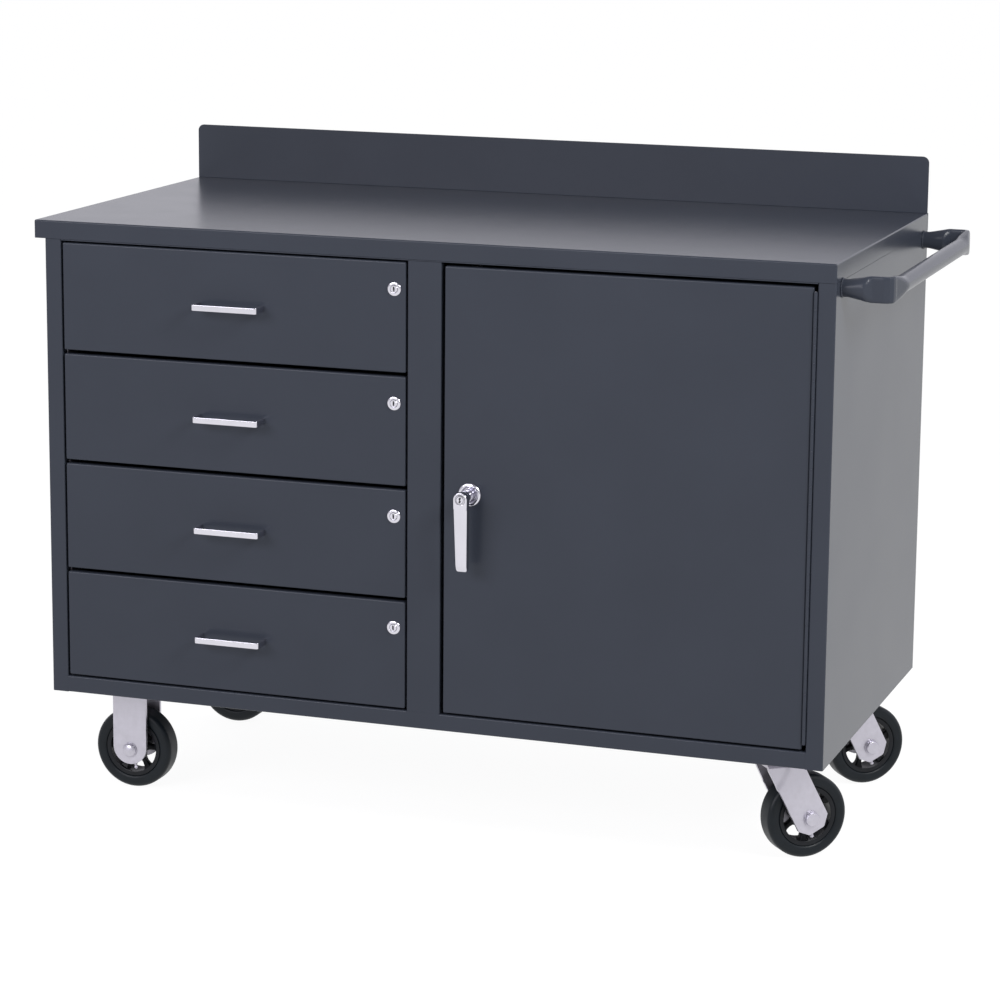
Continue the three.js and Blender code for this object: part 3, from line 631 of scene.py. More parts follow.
# Keyway outlines, in half widths and half heights.
STEPPED_KEYWAY = [(-1, -0.3), (-0.4, -1), (0.8, -1), (1, 0.2), (0.6, 1), (-1, 1)]
CROOKED_KEYWAY = [
    (-1, -1), (0.1, -1), (1, -0.55), (1, -0.15), (0.2, 0.1), (1, 0.45),
    (1, 1), (-0.2, 1), (-1, 0.5), (-1, 0.2), (-0.1, -0.1), (-1, -0.5),
]


def slide_racks():
    """Fixed half of the slides: a channel for each drawer side, on two posts against each wall."""
    for side, inward, edge in (("left", 1, drawers_left), ("right", -1, stile_left)):
        node = f"slide_rack_{side}"
        rack = Place(node)
        wall = rack.left if inward > 0 else rack.right
        posts = []
        for y in (rack.front, rack.back - SLIDE_POST):
            corners = [(wall, y), (edge, y), (edge, y + SLIDE_POST), (wall, y + SLIDE_POST)]
            post = strip(rounded_line(corners, SLIDE_FOLD), "z", [rack.low, rack.high])
            posts.append(turned_over(post) if inward > 0 else post)
        add(f"slide_posts_{side}", together(*posts), "root", "zinc", [node], THIN, 1)
        tip = edge + inward * SLIDE_DEPTH
        half = SLIDE_OUTER_HALF
        lip = half - 4 * MM
        corners = [(tip, lip), (tip, half), (edge, half), (edge, -half), (tip, -half), (tip, -lip)]
        for number in DRAWERS:
            middle = Place(f"drawer_front_{number}").z
            line = rounded_line([(x, middle + up) for x, up in corners], SLIDE_FOLD)
            channel = strip(line, "y", [rack.front, rack.back])
            add(f"slide_channel_{side}_{number}", channel, "root", "zinc", (), THIN, -inward)


def drawer_slides(number, box, middle):
    """Moving half of the slides, one channel on each side of the box."""
    for side, outer, inward in (("left", box.left, 1), ("right", box.right, -1)):
        web = outer + inward * SLIDE_DEPTH
        high = middle + SLIDE_INNER_HALF
        low = middle - SLIDE_INNER_HALF
        line = rounded_line([(outer, high), (web, high), (web, low), (outer, low)], SLIDE_FOLD)
        rack = Place(f"slide_rack_{side}")
        channel = strip(line, "y", [rack.front, rack.back])
        add(f"drawer_slide_{side}_{number}", channel, f"drawer_{number}", "zinc", (), THIN, inward)


def key_plug(names, body, node, x, z, radius, bevel, keyway, groove=0.0):
    """A plug with a keyway cut into its face, and a dark piece of painted shade set behind the keyway. bevel
    is (across, back), keyway is (outline, half width, half height), and groove is the inner radius of a ring
    cut around it, with a dark ring of painted shade in its bottom."""
    plug_name, shade_fill_name = names
    plug = Place(node)
    face = plug.front
    outline, half_width, half_height = keyway
    corners = [(x + a * half_width, z + b * half_height) for a, b in outline]
    profile = [
        (0, face), (radius - bevel[0], face), (radius, face + bevel[1]), (radius, plug.back), (0, plug.back)
    ]
    holes = [prism(corners, "y", face - MM, face + 3 * MM)]
    # The dark pieces behind the keyway and in the groove are painted shade, where the real slot and ring gap
    # are only in shadow.
    shade_fills = [prism(corners, "y", face + 0.4 * MM, face + 3.8 * MM)]
    if groove:
        outer = groove + 0.7 * MM
        holes.insert(0, moved(tube(groove, outer, face - MM, face + 0.5 * MM), x, 0, z))
        shade_fills.append(moved(tube(groove, outer, face + 0.25 * MM, face + 0.45 * MM), x, 0, z))
    add(plug_name, moved(lathe(profile, "y"), x, 0, z), body, "chrome", [node], holes=holes, edge=0)
    # Painted shade: the keyway and groove fillers take the near-black cast-core finish.
    add(shade_fill_name, together(*shade_fills), body, "cast", edge=0)


def drawer_lock(number):
    """Cylinder lock: a turned body with its nut behind the sheet, and a plug that carries the cam."""
    drawer_body = f"drawer_{number}"
    lock_body = f"drawer_lock_{number}"
    shell_node = f"drawer_lock_body_{number}"
    plug_node = f"drawer_lock_plug_{number}"
    shell = Place(shell_node)
    plug = Place(plug_node)
    x = shell.x
    z = shell.z
    front = shell.front
    profile = [(5.9, 0.3), (6.2, 0), (8.2, 0), (9.4, 0.25), (10.2, 0.8), (10.5, 1.7)]
    profile += [(8, 1.7), (8, 15.5), (5.9, 15.5)]
    turned = moved(lathe(in_mm(profile, front), "y", ring=True), x, 0, z)
    add(f"drawer_lock_shell_{number}", turned, drawer_body, "chrome", [shell_node], edge=0)
    nut = moved(prism(hexagon(shell.right - x), "y", front + 6 * MM, front + 9 * MM), x, 0, z)
    bore = moved(rod(8 * MM, front + 5 * MM, front + 10 * MM), x, 0, z)
    add(f"drawer_lock_nut_{number}", nut, drawer_body, "zinc", (), holes=[bore])
    # The second name is the dark piece of painted shade behind the keyway.
    key_plug(
        (f"drawer_key_plug_{number}", f"drawer_keyway_shade_{number}"), lock_body, plug_node, x, z, 5.5 * MM,
        (0.4 * MM, 0.5 * MM), (STEPPED_KEYWAY, 1.3 * MM, 3.6 * MM),
    )
    cam_front = shell.back + 0.9 * MM
    cam = box_outline(x - CAM_HALF, x + CAM_HALF, plug.low, plug.high, 3 * MM)
    add(f"drawer_cam_{number}", prism(cam, "y", cam_front, cam_front + 2 * MM), lock_body, "zinc")


def pan_head(radius, height):
    """A screw's domed head that stands on y = 0 and points to -Y, with a cross recess hinted by a dish."""
    dome = [(radius * c, -height * s) for c, s in arc((0, 0), 1, 0, 80, 5)]
    dish = [(radius * 0.25, -height * 0.8), (0, -height * 0.7)]
    return lathe([(0, 0)] + dome + dish, "y", sides=20)


def drawer_pull(number, body):
    """Flat strap bent into a shallow bow, screwed on from behind."""
    node = f"drawer_pull_{number}"
    place = Place(node)
    corners = [(place.left, place.back), (place.left, place.front)]
    corners += [(place.right, place.front), (place.right, place.back)]
    mesh = strip(rounded_line(corners, 4 * MM, steps=8), "z", [place.low, place.high])
    name = f"drawer_pull_strap_{number}"
    add(name, mesh, body, "chrome", [node], PULL_STRAP, -1, edge=0.7 * MM, segments=3)
    inside = Place(f"drawer_box_{number}").front + THIN
    about = Matrix.Rotation(pi, 4, "Z")
    screws = []
    for x in (place.left + PULL_STRAP / 2, place.right - PULL_STRAP / 2):
        matrix = Matrix.Translation((x, inside, place.z)) @ about
        screws.append(moved(pan_head(4.2 * MM, 2.4 * MM), matrix=matrix))
    add(f"pull_screws_{number}", together(*screws), body, "zinc", edge=0)


def drawer(number):
    body = f"drawer_{number}"
    face = Place(f"drawer_front_{number}")
    box = Place(f"drawer_box_{number}")
    lock = Place(f"drawer_lock_body_{number}")
    lock_hole = moved(rod(8.5 * MM, face.front - MM, face.front + 3 * MM), lock.x, 0, lock.z)
    shell = tray(face, ("+y",))
    nodes = [f"drawer_front_{number}"]
    add(f"drawer_face_{number}", shell, body, "powder", nodes, SHEET, -1, holes=[lock_hole])
    tub = tray(box, ("+z",), curl=((4 * MM, 0), (0, 5 * MM)), fold=1.9 * MM, inset=SLIDE_DEPTH)
    add(f"drawer_tub_{number}", tub, body, "powder", [f"drawer_box_{number}"], THIN, -1)
    drawer_slides(number, box, face.z)
    drawer_pull(number, body)
    drawer_lock(number)


# Door.

rose = Place("handle_rose")
GUIDE_FEET = (20 * MM, 9 * MM)  # outer and inner half width of a rod guide's feet
SPINDLE_BORE = 7 * MM


def door_shell():
    """Front sheet with folded edges and narrow returns, and a hat channel behind it."""
    spindle_hole = moved(rod(SPINDLE_BORE, door.front - MM, door.front + 3 * MM), rose.x, 0, rose.z)
    shell = tray(door, ("+y",), curl=((LIP, 0),))
    add("door_sheet", shell, "door", "powder", ["door_panel"], SHEET, -1, holes=[spindle_hole])
    seat = door.front + SHEET + GAP
    hat = hat_line(door.x, 34 * MM, 20 * MM, seat, door.back - 2 * MM, [0, 1.6 * MM, FOLD])
    margin = 24 * MM
    mesh = strip(hat, "z", [door.low + margin, door.high - margin])
    add("door_stiffener", mesh, "door", "powder", (), THIN, 1)


def rod_guides():
    """Two bridges that keep each lock rod against the door, the inner ones on spacers."""
    bar = Place("lock_rod_upper")
    seat = bar.front - MM
    line = hat_line(bar.x, *GUIDE_FEET, seat, bar.back + 1.6 * MM, [0, 0.8 * MM, 1.6 * MM])
    inner = (door.high - 150 * MM, door.low + 138 * MM)
    heights = (door.high - 13 * MM, *inner, door.low + MM)
    guides = [strip(line, "z", [z, z + 12 * MM]) for z in heights]
    add("rod_guides", together(*guides), "door", "zinc", (), MM, 1)
    spacers = []
    for z in inner:
        for foot in (bar.x - 15.5 * MM, bar.x + 15.5 * MM):
            pad = box_outline(foot - 3 * MM, foot + 3 * MM, z + 3 * MM, z + 9 * MM)
            spacers.append(prism(pad, "y", door.front + SHEET + GAP, seat))
    add("rod_guide_spacers", together(*spacers), "door", "zinc")


def hinge():
    """Continuous hinge: two leaves whose edges curl round one pin in turn."""
    frame_leaf = Place("hinge_frame_leaf")
    axis_x = door.right + HINGE_SPACE / 2
    axis_y = door.front
    radius = 2.7 * MM
    knuckles = 26
    low = frame_leaf.low
    pitch = (frame_leaf.high - low) / knuckles
    play = 0.25 * MM  # between two knuckles
    cuts = [(low + k * pitch + play / 2, low + (k + 1) * pitch - play / 2) for k in range(knuckles)]
    plate_front = axis_y + radius + 0.5 * MM
    for side, name, node, body, first, start, stop in (
        (1, "hinge_leaf_frame", "hinge_frame_leaf", "root", 0, 0, -300),
        (-1, "hinge_leaf_door", "hinge_door_leaf", "door", 1, 180, 480),
    ):
        edge = axis_x + side * radius
        curl = arc((axis_x, axis_y), radius, start, stop, 20)
        section = [(edge, frame_leaf.back), (edge, plate_front)] + curl

        def keep(x, y, z):
            turn = int((z - low) // pitch)
            in_knuckle = cuts[turn][0] < z < cuts[turn][1]
            return y > plate_front or (in_knuckle and turn % 2 == first)

        mesh = strip(section, "z", [z for cut in cuts for z in cut], keep)
        add(name, mesh, body, "powder", [node], 0.9 * MM, side, edge=0.12 * MM, segments=1)
    pin = moved(rod(1.5 * MM, low, frame_leaf.high, "z", sides=20), axis_x, axis_y, 0)
    add("hinge_pin", pin, "root", "zinc", edge=0.3 * MM)


def lever_arm(lever, x, z, back):
    """The flat arm: a boss around (x, z), straight sides that narrow towards the end, and a sloped tip.
    Each rim point has its place, how far the front face's edge lies inside it, and its way outwards."""
    top_radius = lever.high - z
    end_half = 8.25 * MM
    corner = 3 * MM
    low = lever.low
    boss_end = z - 15 * MM
    slope = 9 * MM  # height of the sloped tip

    def side_point(height, inset, way):
        half = end_half + (top_radius - end_half) * ramp(low, z, height)
        return (x + way * half, height), inset, (way, 0)

    def round_points(centre, radius, start, stop, steps, inset):
        outwards = arc((0, 0), 1, start, stop, steps)
        return [((centre[0] + radius * c, centre[1] + radius * s), inset, (c, s)) for c, s in outwards]

    side = [
        (boss_end + MM, 0.8 * MM), (boss_end, 2.4 * MM), (low + slope + 0.6 * MM, 2.2 * MM),
        (low + slope, 2.2 * MM),
    ]
    rim = round_points((x, z), top_radius, 0, 180, 24, 0.8 * MM)
    boss_points = len(rim)
    rim += [side_point(height, inset, -1) for height, inset in side]
    for centre_x, start in ((x - end_half + corner, 180), (x + end_half - corner, 270)):
        rim += round_points((centre_x, low + corner), corner, start, start + 90, 6, 1.6 * MM)
    rim += [side_point(height, inset, 1) for height, inset in reversed(side)]
    face_loop = []
    bevel_loop = []
    back_loop = []
    for (rim_x, rim_z), inset, way in rim:
        lean = 5 * MM * ramp(boss_end, low, rim_z)
        tip = 3 * MM * ramp(low + slope, low, rim_z)
        dip = 0.4 * MM * ramp(boss_end + MM, boss_end, rim_z)
        bevel = 1.4 * MM * ramp(0, 2.4 * MM, inset)
        face_y = lever.front + lean + tip + dip
        face_loop.append((rim_x - way[0] * inset, face_y, rim_z - way[1] * inset))
        bevel_loop.append((rim_x, face_y + bevel, rim_z))
        back_loop.append((rim_x, back + lean, rim_z))
    arm = loft([face_loop, bevel_loop, back_loop])
    count = len(rim)
    arm.verts.ensure_lookup_table()
    face = arm.verts[:count]
    bands = [(boss_points + k, count - 1 - k) for k in range(len(side))]
    arm.faces.new(face[: boss_points + 1] + face[-1:])
    for (left, right), (next_left, next_right) in zip(bands, bands[1:]):
        arm.faces.new([face[left], face[next_left], face[next_right], face[right]])
    arm.faces.new(face[bands[-1][0] : bands[-1][1] + 1])
    arm.faces.new(arm.verts[2 * count :][::-1])
    bmesh.ops.recalc_face_normals(arm, faces=arm.faces)
    return arm


def door_lever():
    """The lever's arm, its shank to the rose, and the key plug in its boss."""
    lever = Place("door_handle")
    plug = Place("handle_lock_plug")
    x = rose.x
    z = rose.z
    back = lever.front + 12 * MM
    plug_radius = (plug.right - plug.left) / 2
    bore = moved(rod(plug_radius + 0.45 * MM, lever.front - MM, plug.back + GAP), x, 0, z)
    arm = lever_arm(lever, x, z, back)
    add("door_lever_arm", arm, "handle", "chrome", ["door_handle"], holes=[bore], edge=0.35 * MM)
    shank_radius = 9.5 * MM
    spindle_radius = 6 * MM
    foot = rose.front - GAP
    profile = [
        (0, back - MM), (shank_radius, back - MM), (shank_radius, foot - 3 * MM),
        (shank_radius - MM, foot - MM), (spindle_radius, foot), (spindle_radius, lever.back),
        (0, lever.back),
    ]
    add("door_lever_shank", moved(lathe(profile, "y"), x, 0, z), "handle", "chrome", edge=0.4 * MM)
    # The second name is the dark piece of painted shade behind the keyway and in the groove.
    key_plug(
        ("lever_key_plug", "lever_keyway_shade"), "handle_key_plug", "handle_lock_plug", x, z, plug_radius,
        (MM, 0.8 * MM), (CROOKED_KEYWAY, 1.7 * MM, 4.1 * MM), groove=5.2 * MM,
    )


def door_rose():
    """A half-round ring on a thin base."""
    radius = (rose.right - rose.left) / 2
    inner = 10.4 * MM
    bore = 6.6 * MM
    base = rose.back - 0.9 * MM
    middle = (radius + inner) / 2
    half = (radius - inner) / 2
    crown = [(middle + half * c, base - (base - rose.front) * s) for c, s in arc((0, 0), 1, 0, 180, 12)]
    profile = [(bore, rose.back), (radius, rose.back)] + crown + [(bore, base)]
    mesh = moved(lathe(profile, "y", ring=True, sides=64), rose.x, 0, rose.z)
    add("door_rose", mesh, "door", "chrome", ["handle_rose"], edge=0)


def latch():
    """Plate on the spindle with its two studs, and the rods that it drives."""
    cam = Place("latch_cam")
    x = rose.x
    z = rose.z
    radius = cam.right - x
    tongue = 9 * MM
    corner = 4 * MM
    meet = degrees(asin(tongue / radius))
    outline = arc((x, z), radius, 90 + meet, 450 - meet, 40)
    outline += arc((x + tongue - corner, cam.high - corner), corner, 0, 90, 5)
    outline += arc((x - tongue + corner, cam.high - corner), corner, 90, 180, 5)
    bore = moved(rod(6.5 * MM, cam.front - MM, cam.back + MM), x, 0, z)
    plate = prism(outline, "y", cam.front, cam.back)
    add("latch_plate", plate, "handle", "zinc", ["latch_cam"], holes=[bore])
    studs = [
        moved(rod(3.5 * MM, cam.back, cam.back + 2.5 * MM, sides=24), stud_x, 0, z)
        for stud_x in (x - 12 * MM, x + 12 * MM)
    ]
    nut = moved(prism(hexagon(9 * MM), "y", cam.back + GAP, cam.back + 2.8 * MM), x, 0, z)
    add("latch_studs", together(*studs, nut), "handle", "zinc")
    for name, node, body, way in (
        ("upper_rod", "lock_rod_upper", "rod_upper", 1),
        ("lower_rod", "lock_rod_lower", "rod_lower", -1),
    ):
        bar = Place(node)
        tip_half = (bar.right - bar.left) / 2 * 0.45
        inner, outer = (bar.low, bar.high) if way > 0 else (bar.high, bar.low)
        shoulder = outer - way * 5 * MM
        outline = [
            (bar.left, inner), (bar.right, inner), (bar.right, shoulder), (bar.x + tip_half, outer),
            (bar.x - tip_half, outer), (bar.left, shoulder),
        ]
        add(name, prism(outline, "y", bar.front, bar.back), body, "zinc", [node])


def door_pieces():
    door_shell()
    rod_guides()
    hinge()
    door_rose()
    door_lever()
    latch()


# Casters. Each one is drawn around its plate's middle on the floor, with the axle along y.

PLATE_HALF = (51 * MM, 57 * MM)
PLATE_THICK = 6 * MM
BOLT_HALF = (38 * MM, 45 * MM)  # half the spacing of the plate's bolts
BOLT_WASHER = 1.6 * MM
AXLE_WASHER = 1.2 * MM
STRAP = 5 * MM
LEG_OUTER = 28.5 * MM
AXLE = 6 * MM
KINGPIN_BORE = 7.6 * MM
SPOKE_TURN = {"rigid_front": 0, "rigid_rear": 40, "swivel_front": 30, "swivel_rear": 15}  # degrees


def caster_plate(name, node, base, high):
    outline = box_outline(-PLATE_HALF[0], PLATE_HALF[0], -PLATE_HALF[1], PLATE_HALF[1], 9 * MM)
    plate = moved(prism(outline, "z", high - PLATE_THICK, high), matrix=base)
    add(name, plate, "root", "zinc", [node], edge=0.8 * MM)


def plate_bolts(kind, row, base, high):
    """Bolt heads with washers under a caster's plate, and their buttons on the cabinet's floor."""
    under = high - PLATE_THICK - BOLT_WASHER
    dome = [(9 * MM * c, 3 * MM * s) for c, s in arc((0, 0), 1, 0, 90, 6)]
    dome[-1] = (0, dome[-1][1])  # exactly on the axis
    heads = []
    buttons = []
    for x in (-BOLT_HALF[0], BOLT_HALF[0]):
        for y in (-BOLT_HALF[1], BOLT_HALF[1]):
            head = prism(hexagon(8 * MM), "z", 0, 5.5 * MM)
            washer = rod(9.5 * MM, -BOLT_WASHER, 0, "z", sides=32)
            upside_down = Matrix.Translation((x, y, under)) @ Matrix.Rotation(pi, 4, "X")
            heads.append(moved(together(head, washer), matrix=upside_down))
            buttons.append(moved(lathe([(0, 0)] + dome, "z", sides=24), x, y, high + GAP + SHEET))
    add(f"{kind}_bolts_{row}", moved(together(*heads), matrix=base), "root", "zinc", edge=0.5 * MM)
    add(f"{kind}_buttons_{row}", moved(together(*buttons), matrix=base), "root", "zinc", edge=0)


def fork_mesh(half, end_depth, crown, axle_z, trail, bend, crease=0.0):
    """One bent strap: leg, crown, leg. end_depth(across) is how far it reaches past the axle."""
    rake = atan2(trail, crown - STRAP - axle_z)
    columns = 28
    rows = 24
    knee = crown - bend
    over = arc((bend - LEG_OUTER, knee), bend, 180, 90, 6)[1:]
    mesh = bmesh.new()
    lines = []
    for i in range(columns + 1):
        across = half * sin(radians(-90 + 180 * i / columns))
        foot_down = end_depth(across)
        foot_x = trail + across * cos(rake) + foot_down * sin(rake)
        foot_z = axle_z + across * sin(rake) - foot_down * cos(rake)
        head_x = across / cos(rake)
        leg = []
        for k in range(rows + 1):
            t = k / rows
            # The corner beside the crown is pressed in on the side that the leg leans away from.
            reach = (across / half + 1) / 2 + (1 - t) * 1.9
            press = crease * (0.45 * ramp(0.62, 0.56, reach) + 0.55 * ramp(0.62, 0, reach))
            leg.append((foot_x + (head_x - foot_x) * t, press - LEG_OUTER, foot_z + (knee - foot_z) * t))
        leg += [(head_x, y, z) for y, z in over]
        line = leg + [(x, -y, z) for x, y, z in reversed(leg)]
        lines.append([mesh.verts.new(point) for point in line])
    for near, far in zip(lines, lines[1:]):
        for k in range(len(near) - 1):
            mesh.faces.new([near[k], far[k], far[k + 1], near[k + 1]])
    bmesh.ops.recalc_face_normals(mesh, faces=mesh.faces)
    return facing_outwards(mesh, Vector((0, 0, axle_z)))


def axle_hole(x, z):
    reach = LEG_OUTER + 2 * MM
    return moved(rod(AXLE + 0.5 * MM, -reach, reach, sides=32), x, 0, z)


def axle_mesh(domed):
    """Bolt through the hub with a domed or a flat head, and a nut on its far end."""
    seat = LEG_OUTER + GAP
    under_head = -seat - AXLE_WASHER
    head_top = -seat - 7 * MM
    if domed:
        rounded = reversed(arc((0, 0), 1, 0, 84, 8))
        head = [(0, head_top)] + [(11 * MM * c, under_head - 5.8 * MM * s) for c, s in rounded]
    else:
        head = in_mm([(0, 0), (8.2, 0), (9.8, 0.6), (10.6, 2)], head_top) + [(10.6 * MM, under_head)]
    end = LEG_OUTER + 9 * MM
    shank = [(AXLE, under_head), (AXLE, end - MM), (AXLE - MM, end), (0, end)]
    washer = tube(AXLE, 12 * MM, under_head, -seat)
    nut = prism(hexagon(11 * MM), "y", seat, seat + 6.5 * MM)
    return together(washer, lathe(head + shank, "y"), nut)


def tyre_mesh(outer, half):
    """Tyre with a slightly crowned tread, round shoulders and a moulded ring on each side."""
    inner = 45.3 * MM
    shoulder = 8 * MM
    ring = [(0, 3), (1.2, 1.2), (3.5, 0.3), (6, 0)]
    side = [(inner + out * MM, half - deep * MM) for out, deep in ring]
    side += arc((outer - shoulder, half - shoulder), shoulder, 84, 8, 9)
    side += [(outer, half * 0.3)]
    return lathe(side + [(r, -y) for r, y in reversed(side)], "y", ring=True, sides=96)


def core_mesh(phase):
    """Cast core: a flanged rim, six ribs and a long hub, cast as one."""
    rim = [(38.5, -15), (40, -16), (45, -16), (45, 16), (40, 16), (38.5, 15), (40.2, 6), (40.2, -6)]
    hub = [
        (6.8, -22.5), (14, -22.5), (15.2, -21.3), (16.5, -6), (16.5, 6), (15.2, 21.3), (14, 22.5), (6.8, 22.5)
    ]
    # How far out a rib's section lies, its half width and its half depth.
    rib = [(13, 7.5, 8.5), (17, 6.2, 7), (22, 4.4, 5.2), (28, 4, 4.6)]
    rib += [(34, 4.8, 5.4), (39, 7, 7.5), (41.5, 9, 8.5)]
    rings = []
    for out, wide, deep in rib:
        outline = box_outline(-wide, wide, -deep, deep, 2.6)
        rings.append([Vector((out, y, z)) * MM for z, y in outline])
    ribs = []
    for k in range(6):
        turn = Matrix.Rotation(radians(-60 * k - phase), 4, "Y")
        ribs.append(moved(loft(rings, capped=True), matrix=turn))
    rim_mesh = lathe(in_mm(rim), "y", ring=True, sides=72)
    return together(rim_mesh, lathe(in_mm(hub), "y", ring=True), *ribs)


def grease_nipple(turn):
    profile = [(0, 14), (3.4, 14), (3.4, 24), (2.2, 25), (2.2, 28)]
    profile += [(3.2, 29.5), (3.2, 31), (1.4, 33), (0, 33)]
    return moved(lathe(in_mm(profile), "z", sides=16), matrix=Matrix.Rotation(radians(turn), 4, "Y"))


def wheel(label, base, trail, axle_z, axle_body, domed):
    """Tyre, core and axle of one caster; base places the caster, trail and axle_z place the axle."""
    body = f"wheel_{label}"
    spot = base @ Matrix.Translation((trail, 0, axle_z))
    for name, mesh, owner, finish, nodes, edge in (
        ("tyre_ring", tyre_mesh(axle_z, 18 * MM), body, "rubber", [f"tyre_{label}"], 0),
        ("cast_core", core_mesh(SPOKE_TURN[label]), body, "cast", [f"wheel_core_{label}"], 0),
        ("grease_nipple", moved(grease_nipple(172), 2 * MM, -19 * MM), body, "zinc", (), 0),
        ("axle_bolt", axle_mesh(domed), axle_body, "zinc", [f"axle_{label}"], 0.4 * MM),
    ):
        add(f"{name}_{label}", moved(mesh, matrix=spot), owner, finish, nodes, edge=edge)


def rigid_caster(row):
    label = f"rigid_{row}"
    node = f"rigid_fork_{row}"
    fork = Place(node)
    axle_z = Place(f"axle_{label}").z
    base = Matrix.Translation((fork.x, fork.y, 0))
    half = 28 * MM
    rise = 5 * MM

    def round_end(across):
        return sqrt(max(0.0, half**2 - across**2)) - rise

    caster_plate(f"rigid_plate_{row}", node, base, fork.high)
    strap = moved(fork_mesh(half, round_end, fork.high - PLATE_THICK, axle_z, 0.0, 7 * MM), matrix=base)
    hole = moved(axle_hole(0, axle_z), matrix=base)
    add(f"rigid_strap_{row}", strap, "root", "zinc", (), STRAP, -1, holes=[hole], edge=0.9 * MM)
    plate_bolts("rigid", row, base, fork.high)
    wheel(label, base, 0.0, axle_z, "root", True)


def swivel_caster(row):
    label = f"swivel_{row}"
    body = label
    fixed = Place(f"swivel_plate_{row}")
    crown = Place(f"swivel_fork_{row}").high
    tyre = Place(f"tyre_{label}")
    axle_z = tyre.z
    offset = Vector((tyre.x - fixed.x, tyre.y - fixed.y))
    trail = offset.length
    base = Matrix.Translation((fixed.x, fixed.y, 0))
    turned = base @ Matrix.Rotation(atan2(offset.y, offset.x), 4, "Z")
    caster_plate(f"swivel_top_plate_{row}", f"swivel_plate_{row}", base, fixed.high)
    plate_bolts("swivel", row, base, fixed.high)
    plate_low = fixed.high - PLATE_THICK
    raceway = [(7, 0), (27, 0), (31, -1.2), (35, -5), (36, -7), (36, -9.6), (34.5, -10.4), (7, -10.4)]
    upper = moved(lathe(in_mm(raceway, plate_low), "z", ring=True, sides=72), matrix=base)
    add(f"swivel_raceway_{row}", upper, "root", "zinc", edge=0)
    low = fixed.low
    pin_profile = in_mm([(0, 1), (6, 1), (7, 2)], low) + [(7 * MM, plate_low), (0, plate_low)]
    kingpin = moved(lathe(pin_profile, "z", sides=32), matrix=base)
    nut = moved(prism(hexagon(12 * MM), "z", low, low + 6.5 * MM), matrix=base)
    add(f"kingpin_{row}", together(kingpin, nut), "root", "zinc", edge=0.5 * MM)
    half = 26 * MM
    end = 22 * MM

    def faceted_end(across):
        return end * (1 - ramp(half / 2, half, abs(across)) * 2 / 3)

    strap = fork_mesh(half, faceted_end, crown - 3.5 * MM, axle_z, trail, 6 * MM, crease=4 * MM)
    pin_hole = moved(rod(KINGPIN_BORE, crown - 20 * MM, crown, "z", sides=32), matrix=base)
    holes = [moved(axle_hole(trail, axle_z), matrix=turned), pin_hole]
    add(
        f"swivel_strap_{row}", moved(strap, matrix=turned), body, "zinc", [f"swivel_fork_{row}"], STRAP, -1,
        holes=holes, edge=0.9 * MM,
    )
    cup = [(7.6, 0), (32, 0), (33.4, -0.6), (34, -2), (33.2, -3.5), (30, -3.5), (7.6, -3.5)]
    lower = moved(lathe(in_mm(cup, crown), "z", ring=True, sides=72), matrix=base)
    add(f"swivel_cup_{row}", lower, body, "zinc", edge=0)
    wheel(label, turned, trail, axle_z, body, False)


def casters():
    for row in ("front", "rear"):
        rigid_caster(row)
        swivel_caster(row)


# Stage.

CAMERA_PLACE = (1.614, -4.715, 1.547)
CAMERA_YAW = radians(19.03)
CAMERA_PITCH = radians(11.37)
CAMERA_ROLL = radians(0.5)
CAMERA_LENS = 118.7
CAMERA_SHIFT = -0.05
SKY_COLOUR = (0.94, 0.93, 1, 1)
SKY_FRONT = 0.5
SKY_BACK = 1.2
CEILING = 0.5  # the part of the sky's light that is left overhead
FLOOR_HALF = 60
FLOOR_GLOW = 0.94


def camera():
    data = bpy.data.cameras.new("camera")
    data.lens = CAMERA_LENS
    data.sensor_width = 36
    data.shift_y = CAMERA_SHIFT
    data.clip_end = 60
    made = in_scene("camera", data)
    aim = Matrix.Rotation(CAMERA_YAW, 4, "Z") @ Matrix.Rotation(pi / 2 - CAMERA_PITCH, 4, "X")
    made.matrix_world = Matrix.Translation(CAMERA_PLACE) @ aim @ Matrix.Rotation(CAMERA_ROLL, 4, "Z")
    bpy.context.scene.camera = made


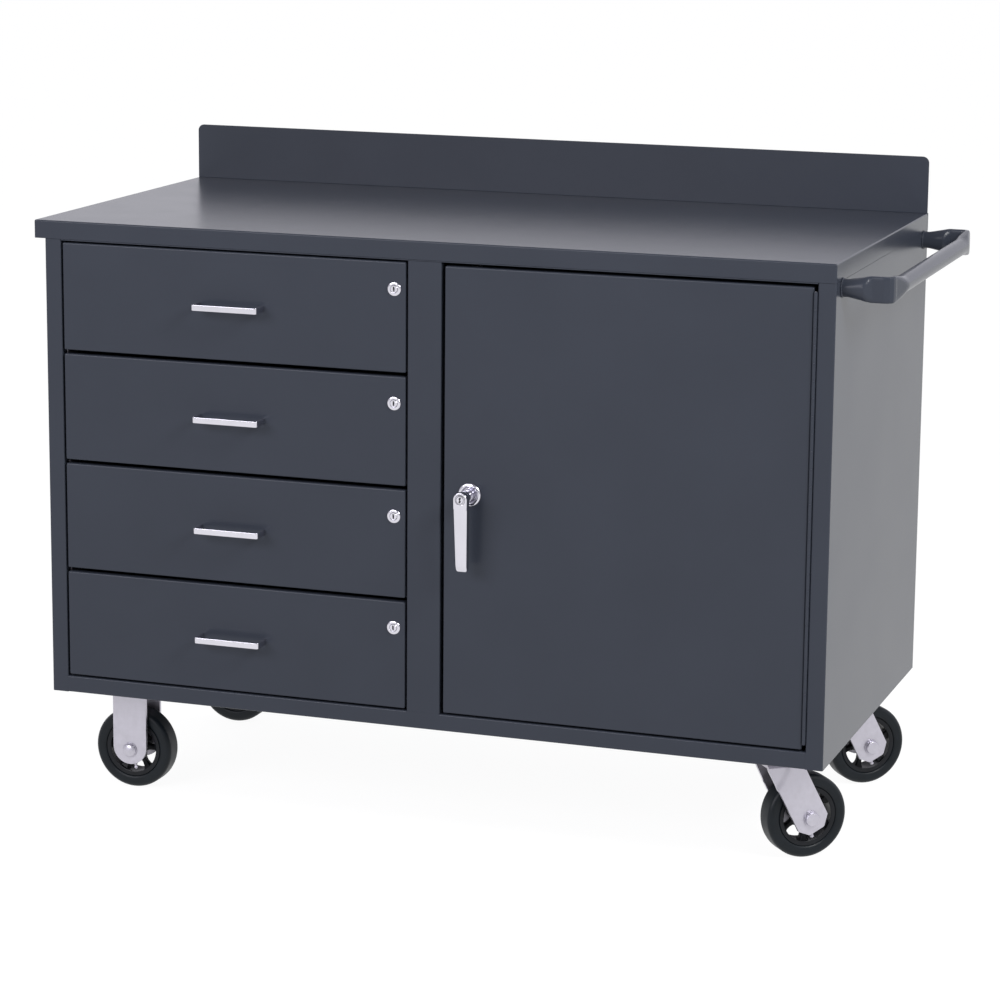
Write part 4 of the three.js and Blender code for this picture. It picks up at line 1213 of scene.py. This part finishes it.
def area_light(name, place, target, size, power, colour=(1, 1, 1)):
    data = bpy.data.lights.new(name, "AREA")
    data.shape = "RECTANGLE"
    data.size, data.size_y = size
    data.energy = power
    data.color = colour
    made = in_scene(name, data)
    made.location = place
    made.rotation_mode = "QUATERNION"
    made.rotation_quaternion = (Vector(target) - Vector(place)).to_track_quat("-Z", "Y")
    made.visible_camera = False


def sky():
    """Bright behind the bench, darker in front of it and overhead."""
    world = bpy.data.worlds.new("studio")
    bpy.context.scene.world = world
    world.use_nodes = True
    tree = world.node_tree
    places = tree.nodes.new("ShaderNodeTexCoord").outputs["Generated"]
    way = new_node(tree, "ShaderNodeSeparateXYZ", feeds={"Vector": places}).outputs
    across = remap(tree, way["Y"], -0.75, 0.25, SKY_FRONT, SKY_BACK, "SMOOTHSTEP")
    above = remap(tree, way["Z"], 0.4, 0.75, 1, CEILING, "SMOOTHSTEP")
    product = new_node(tree, "ShaderNodeMath", feeds={0: across, 1: above})
    product.operation = "MULTIPLY"
    background = tree.nodes["Background"]
    background.inputs["Color"].default_value = SKY_COLOUR
    tree.links.new(product.outputs["Value"], background.inputs["Strength"])


def floor():
    """A white floor that glows, so it stays pale under every light."""
    values = {
        "Base Color": (0.1, 0.1, 0.1, 1), "Roughness": 0.9, "Specular IOR Level": 0,
        "Emission Color": (1, 1, 1, 1), "Emission Strength": FLOOR_GLOW,
    }
    paint, _ = new_material("studio floor", values)
    mesh = bmesh.new()
    outline = box_outline(-FLOOR_HALF, FLOOR_HALF, -FLOOR_HALF, FLOOR_HALF)
    mesh.faces.new([mesh.verts.new((x, y, 0)) for x, y in outline])
    made = new_object("floor", mesh)
    made.data.materials.append(paint)


def studio():
    sky()
    area_light("key light", (2.6, -1.4, 2.6), (0, 0, 0.4), (1.2, 1.2), 100)
    area_light("front light", (-1.7, -3.7, 2.3), (0, 0, 0.75), (2.8, 1.6), 120, (0.95, 0.94, 1))
    floor()
    bpy.context.scene.view_settings.view_transform = "Standard"
    bpy.context.scene.view_settings.look = "None"


cabinet()
slide_racks()
for drawer_number in DRAWERS:
    drawer(drawer_number)
door_pieces()
casters()
camera()
studio()
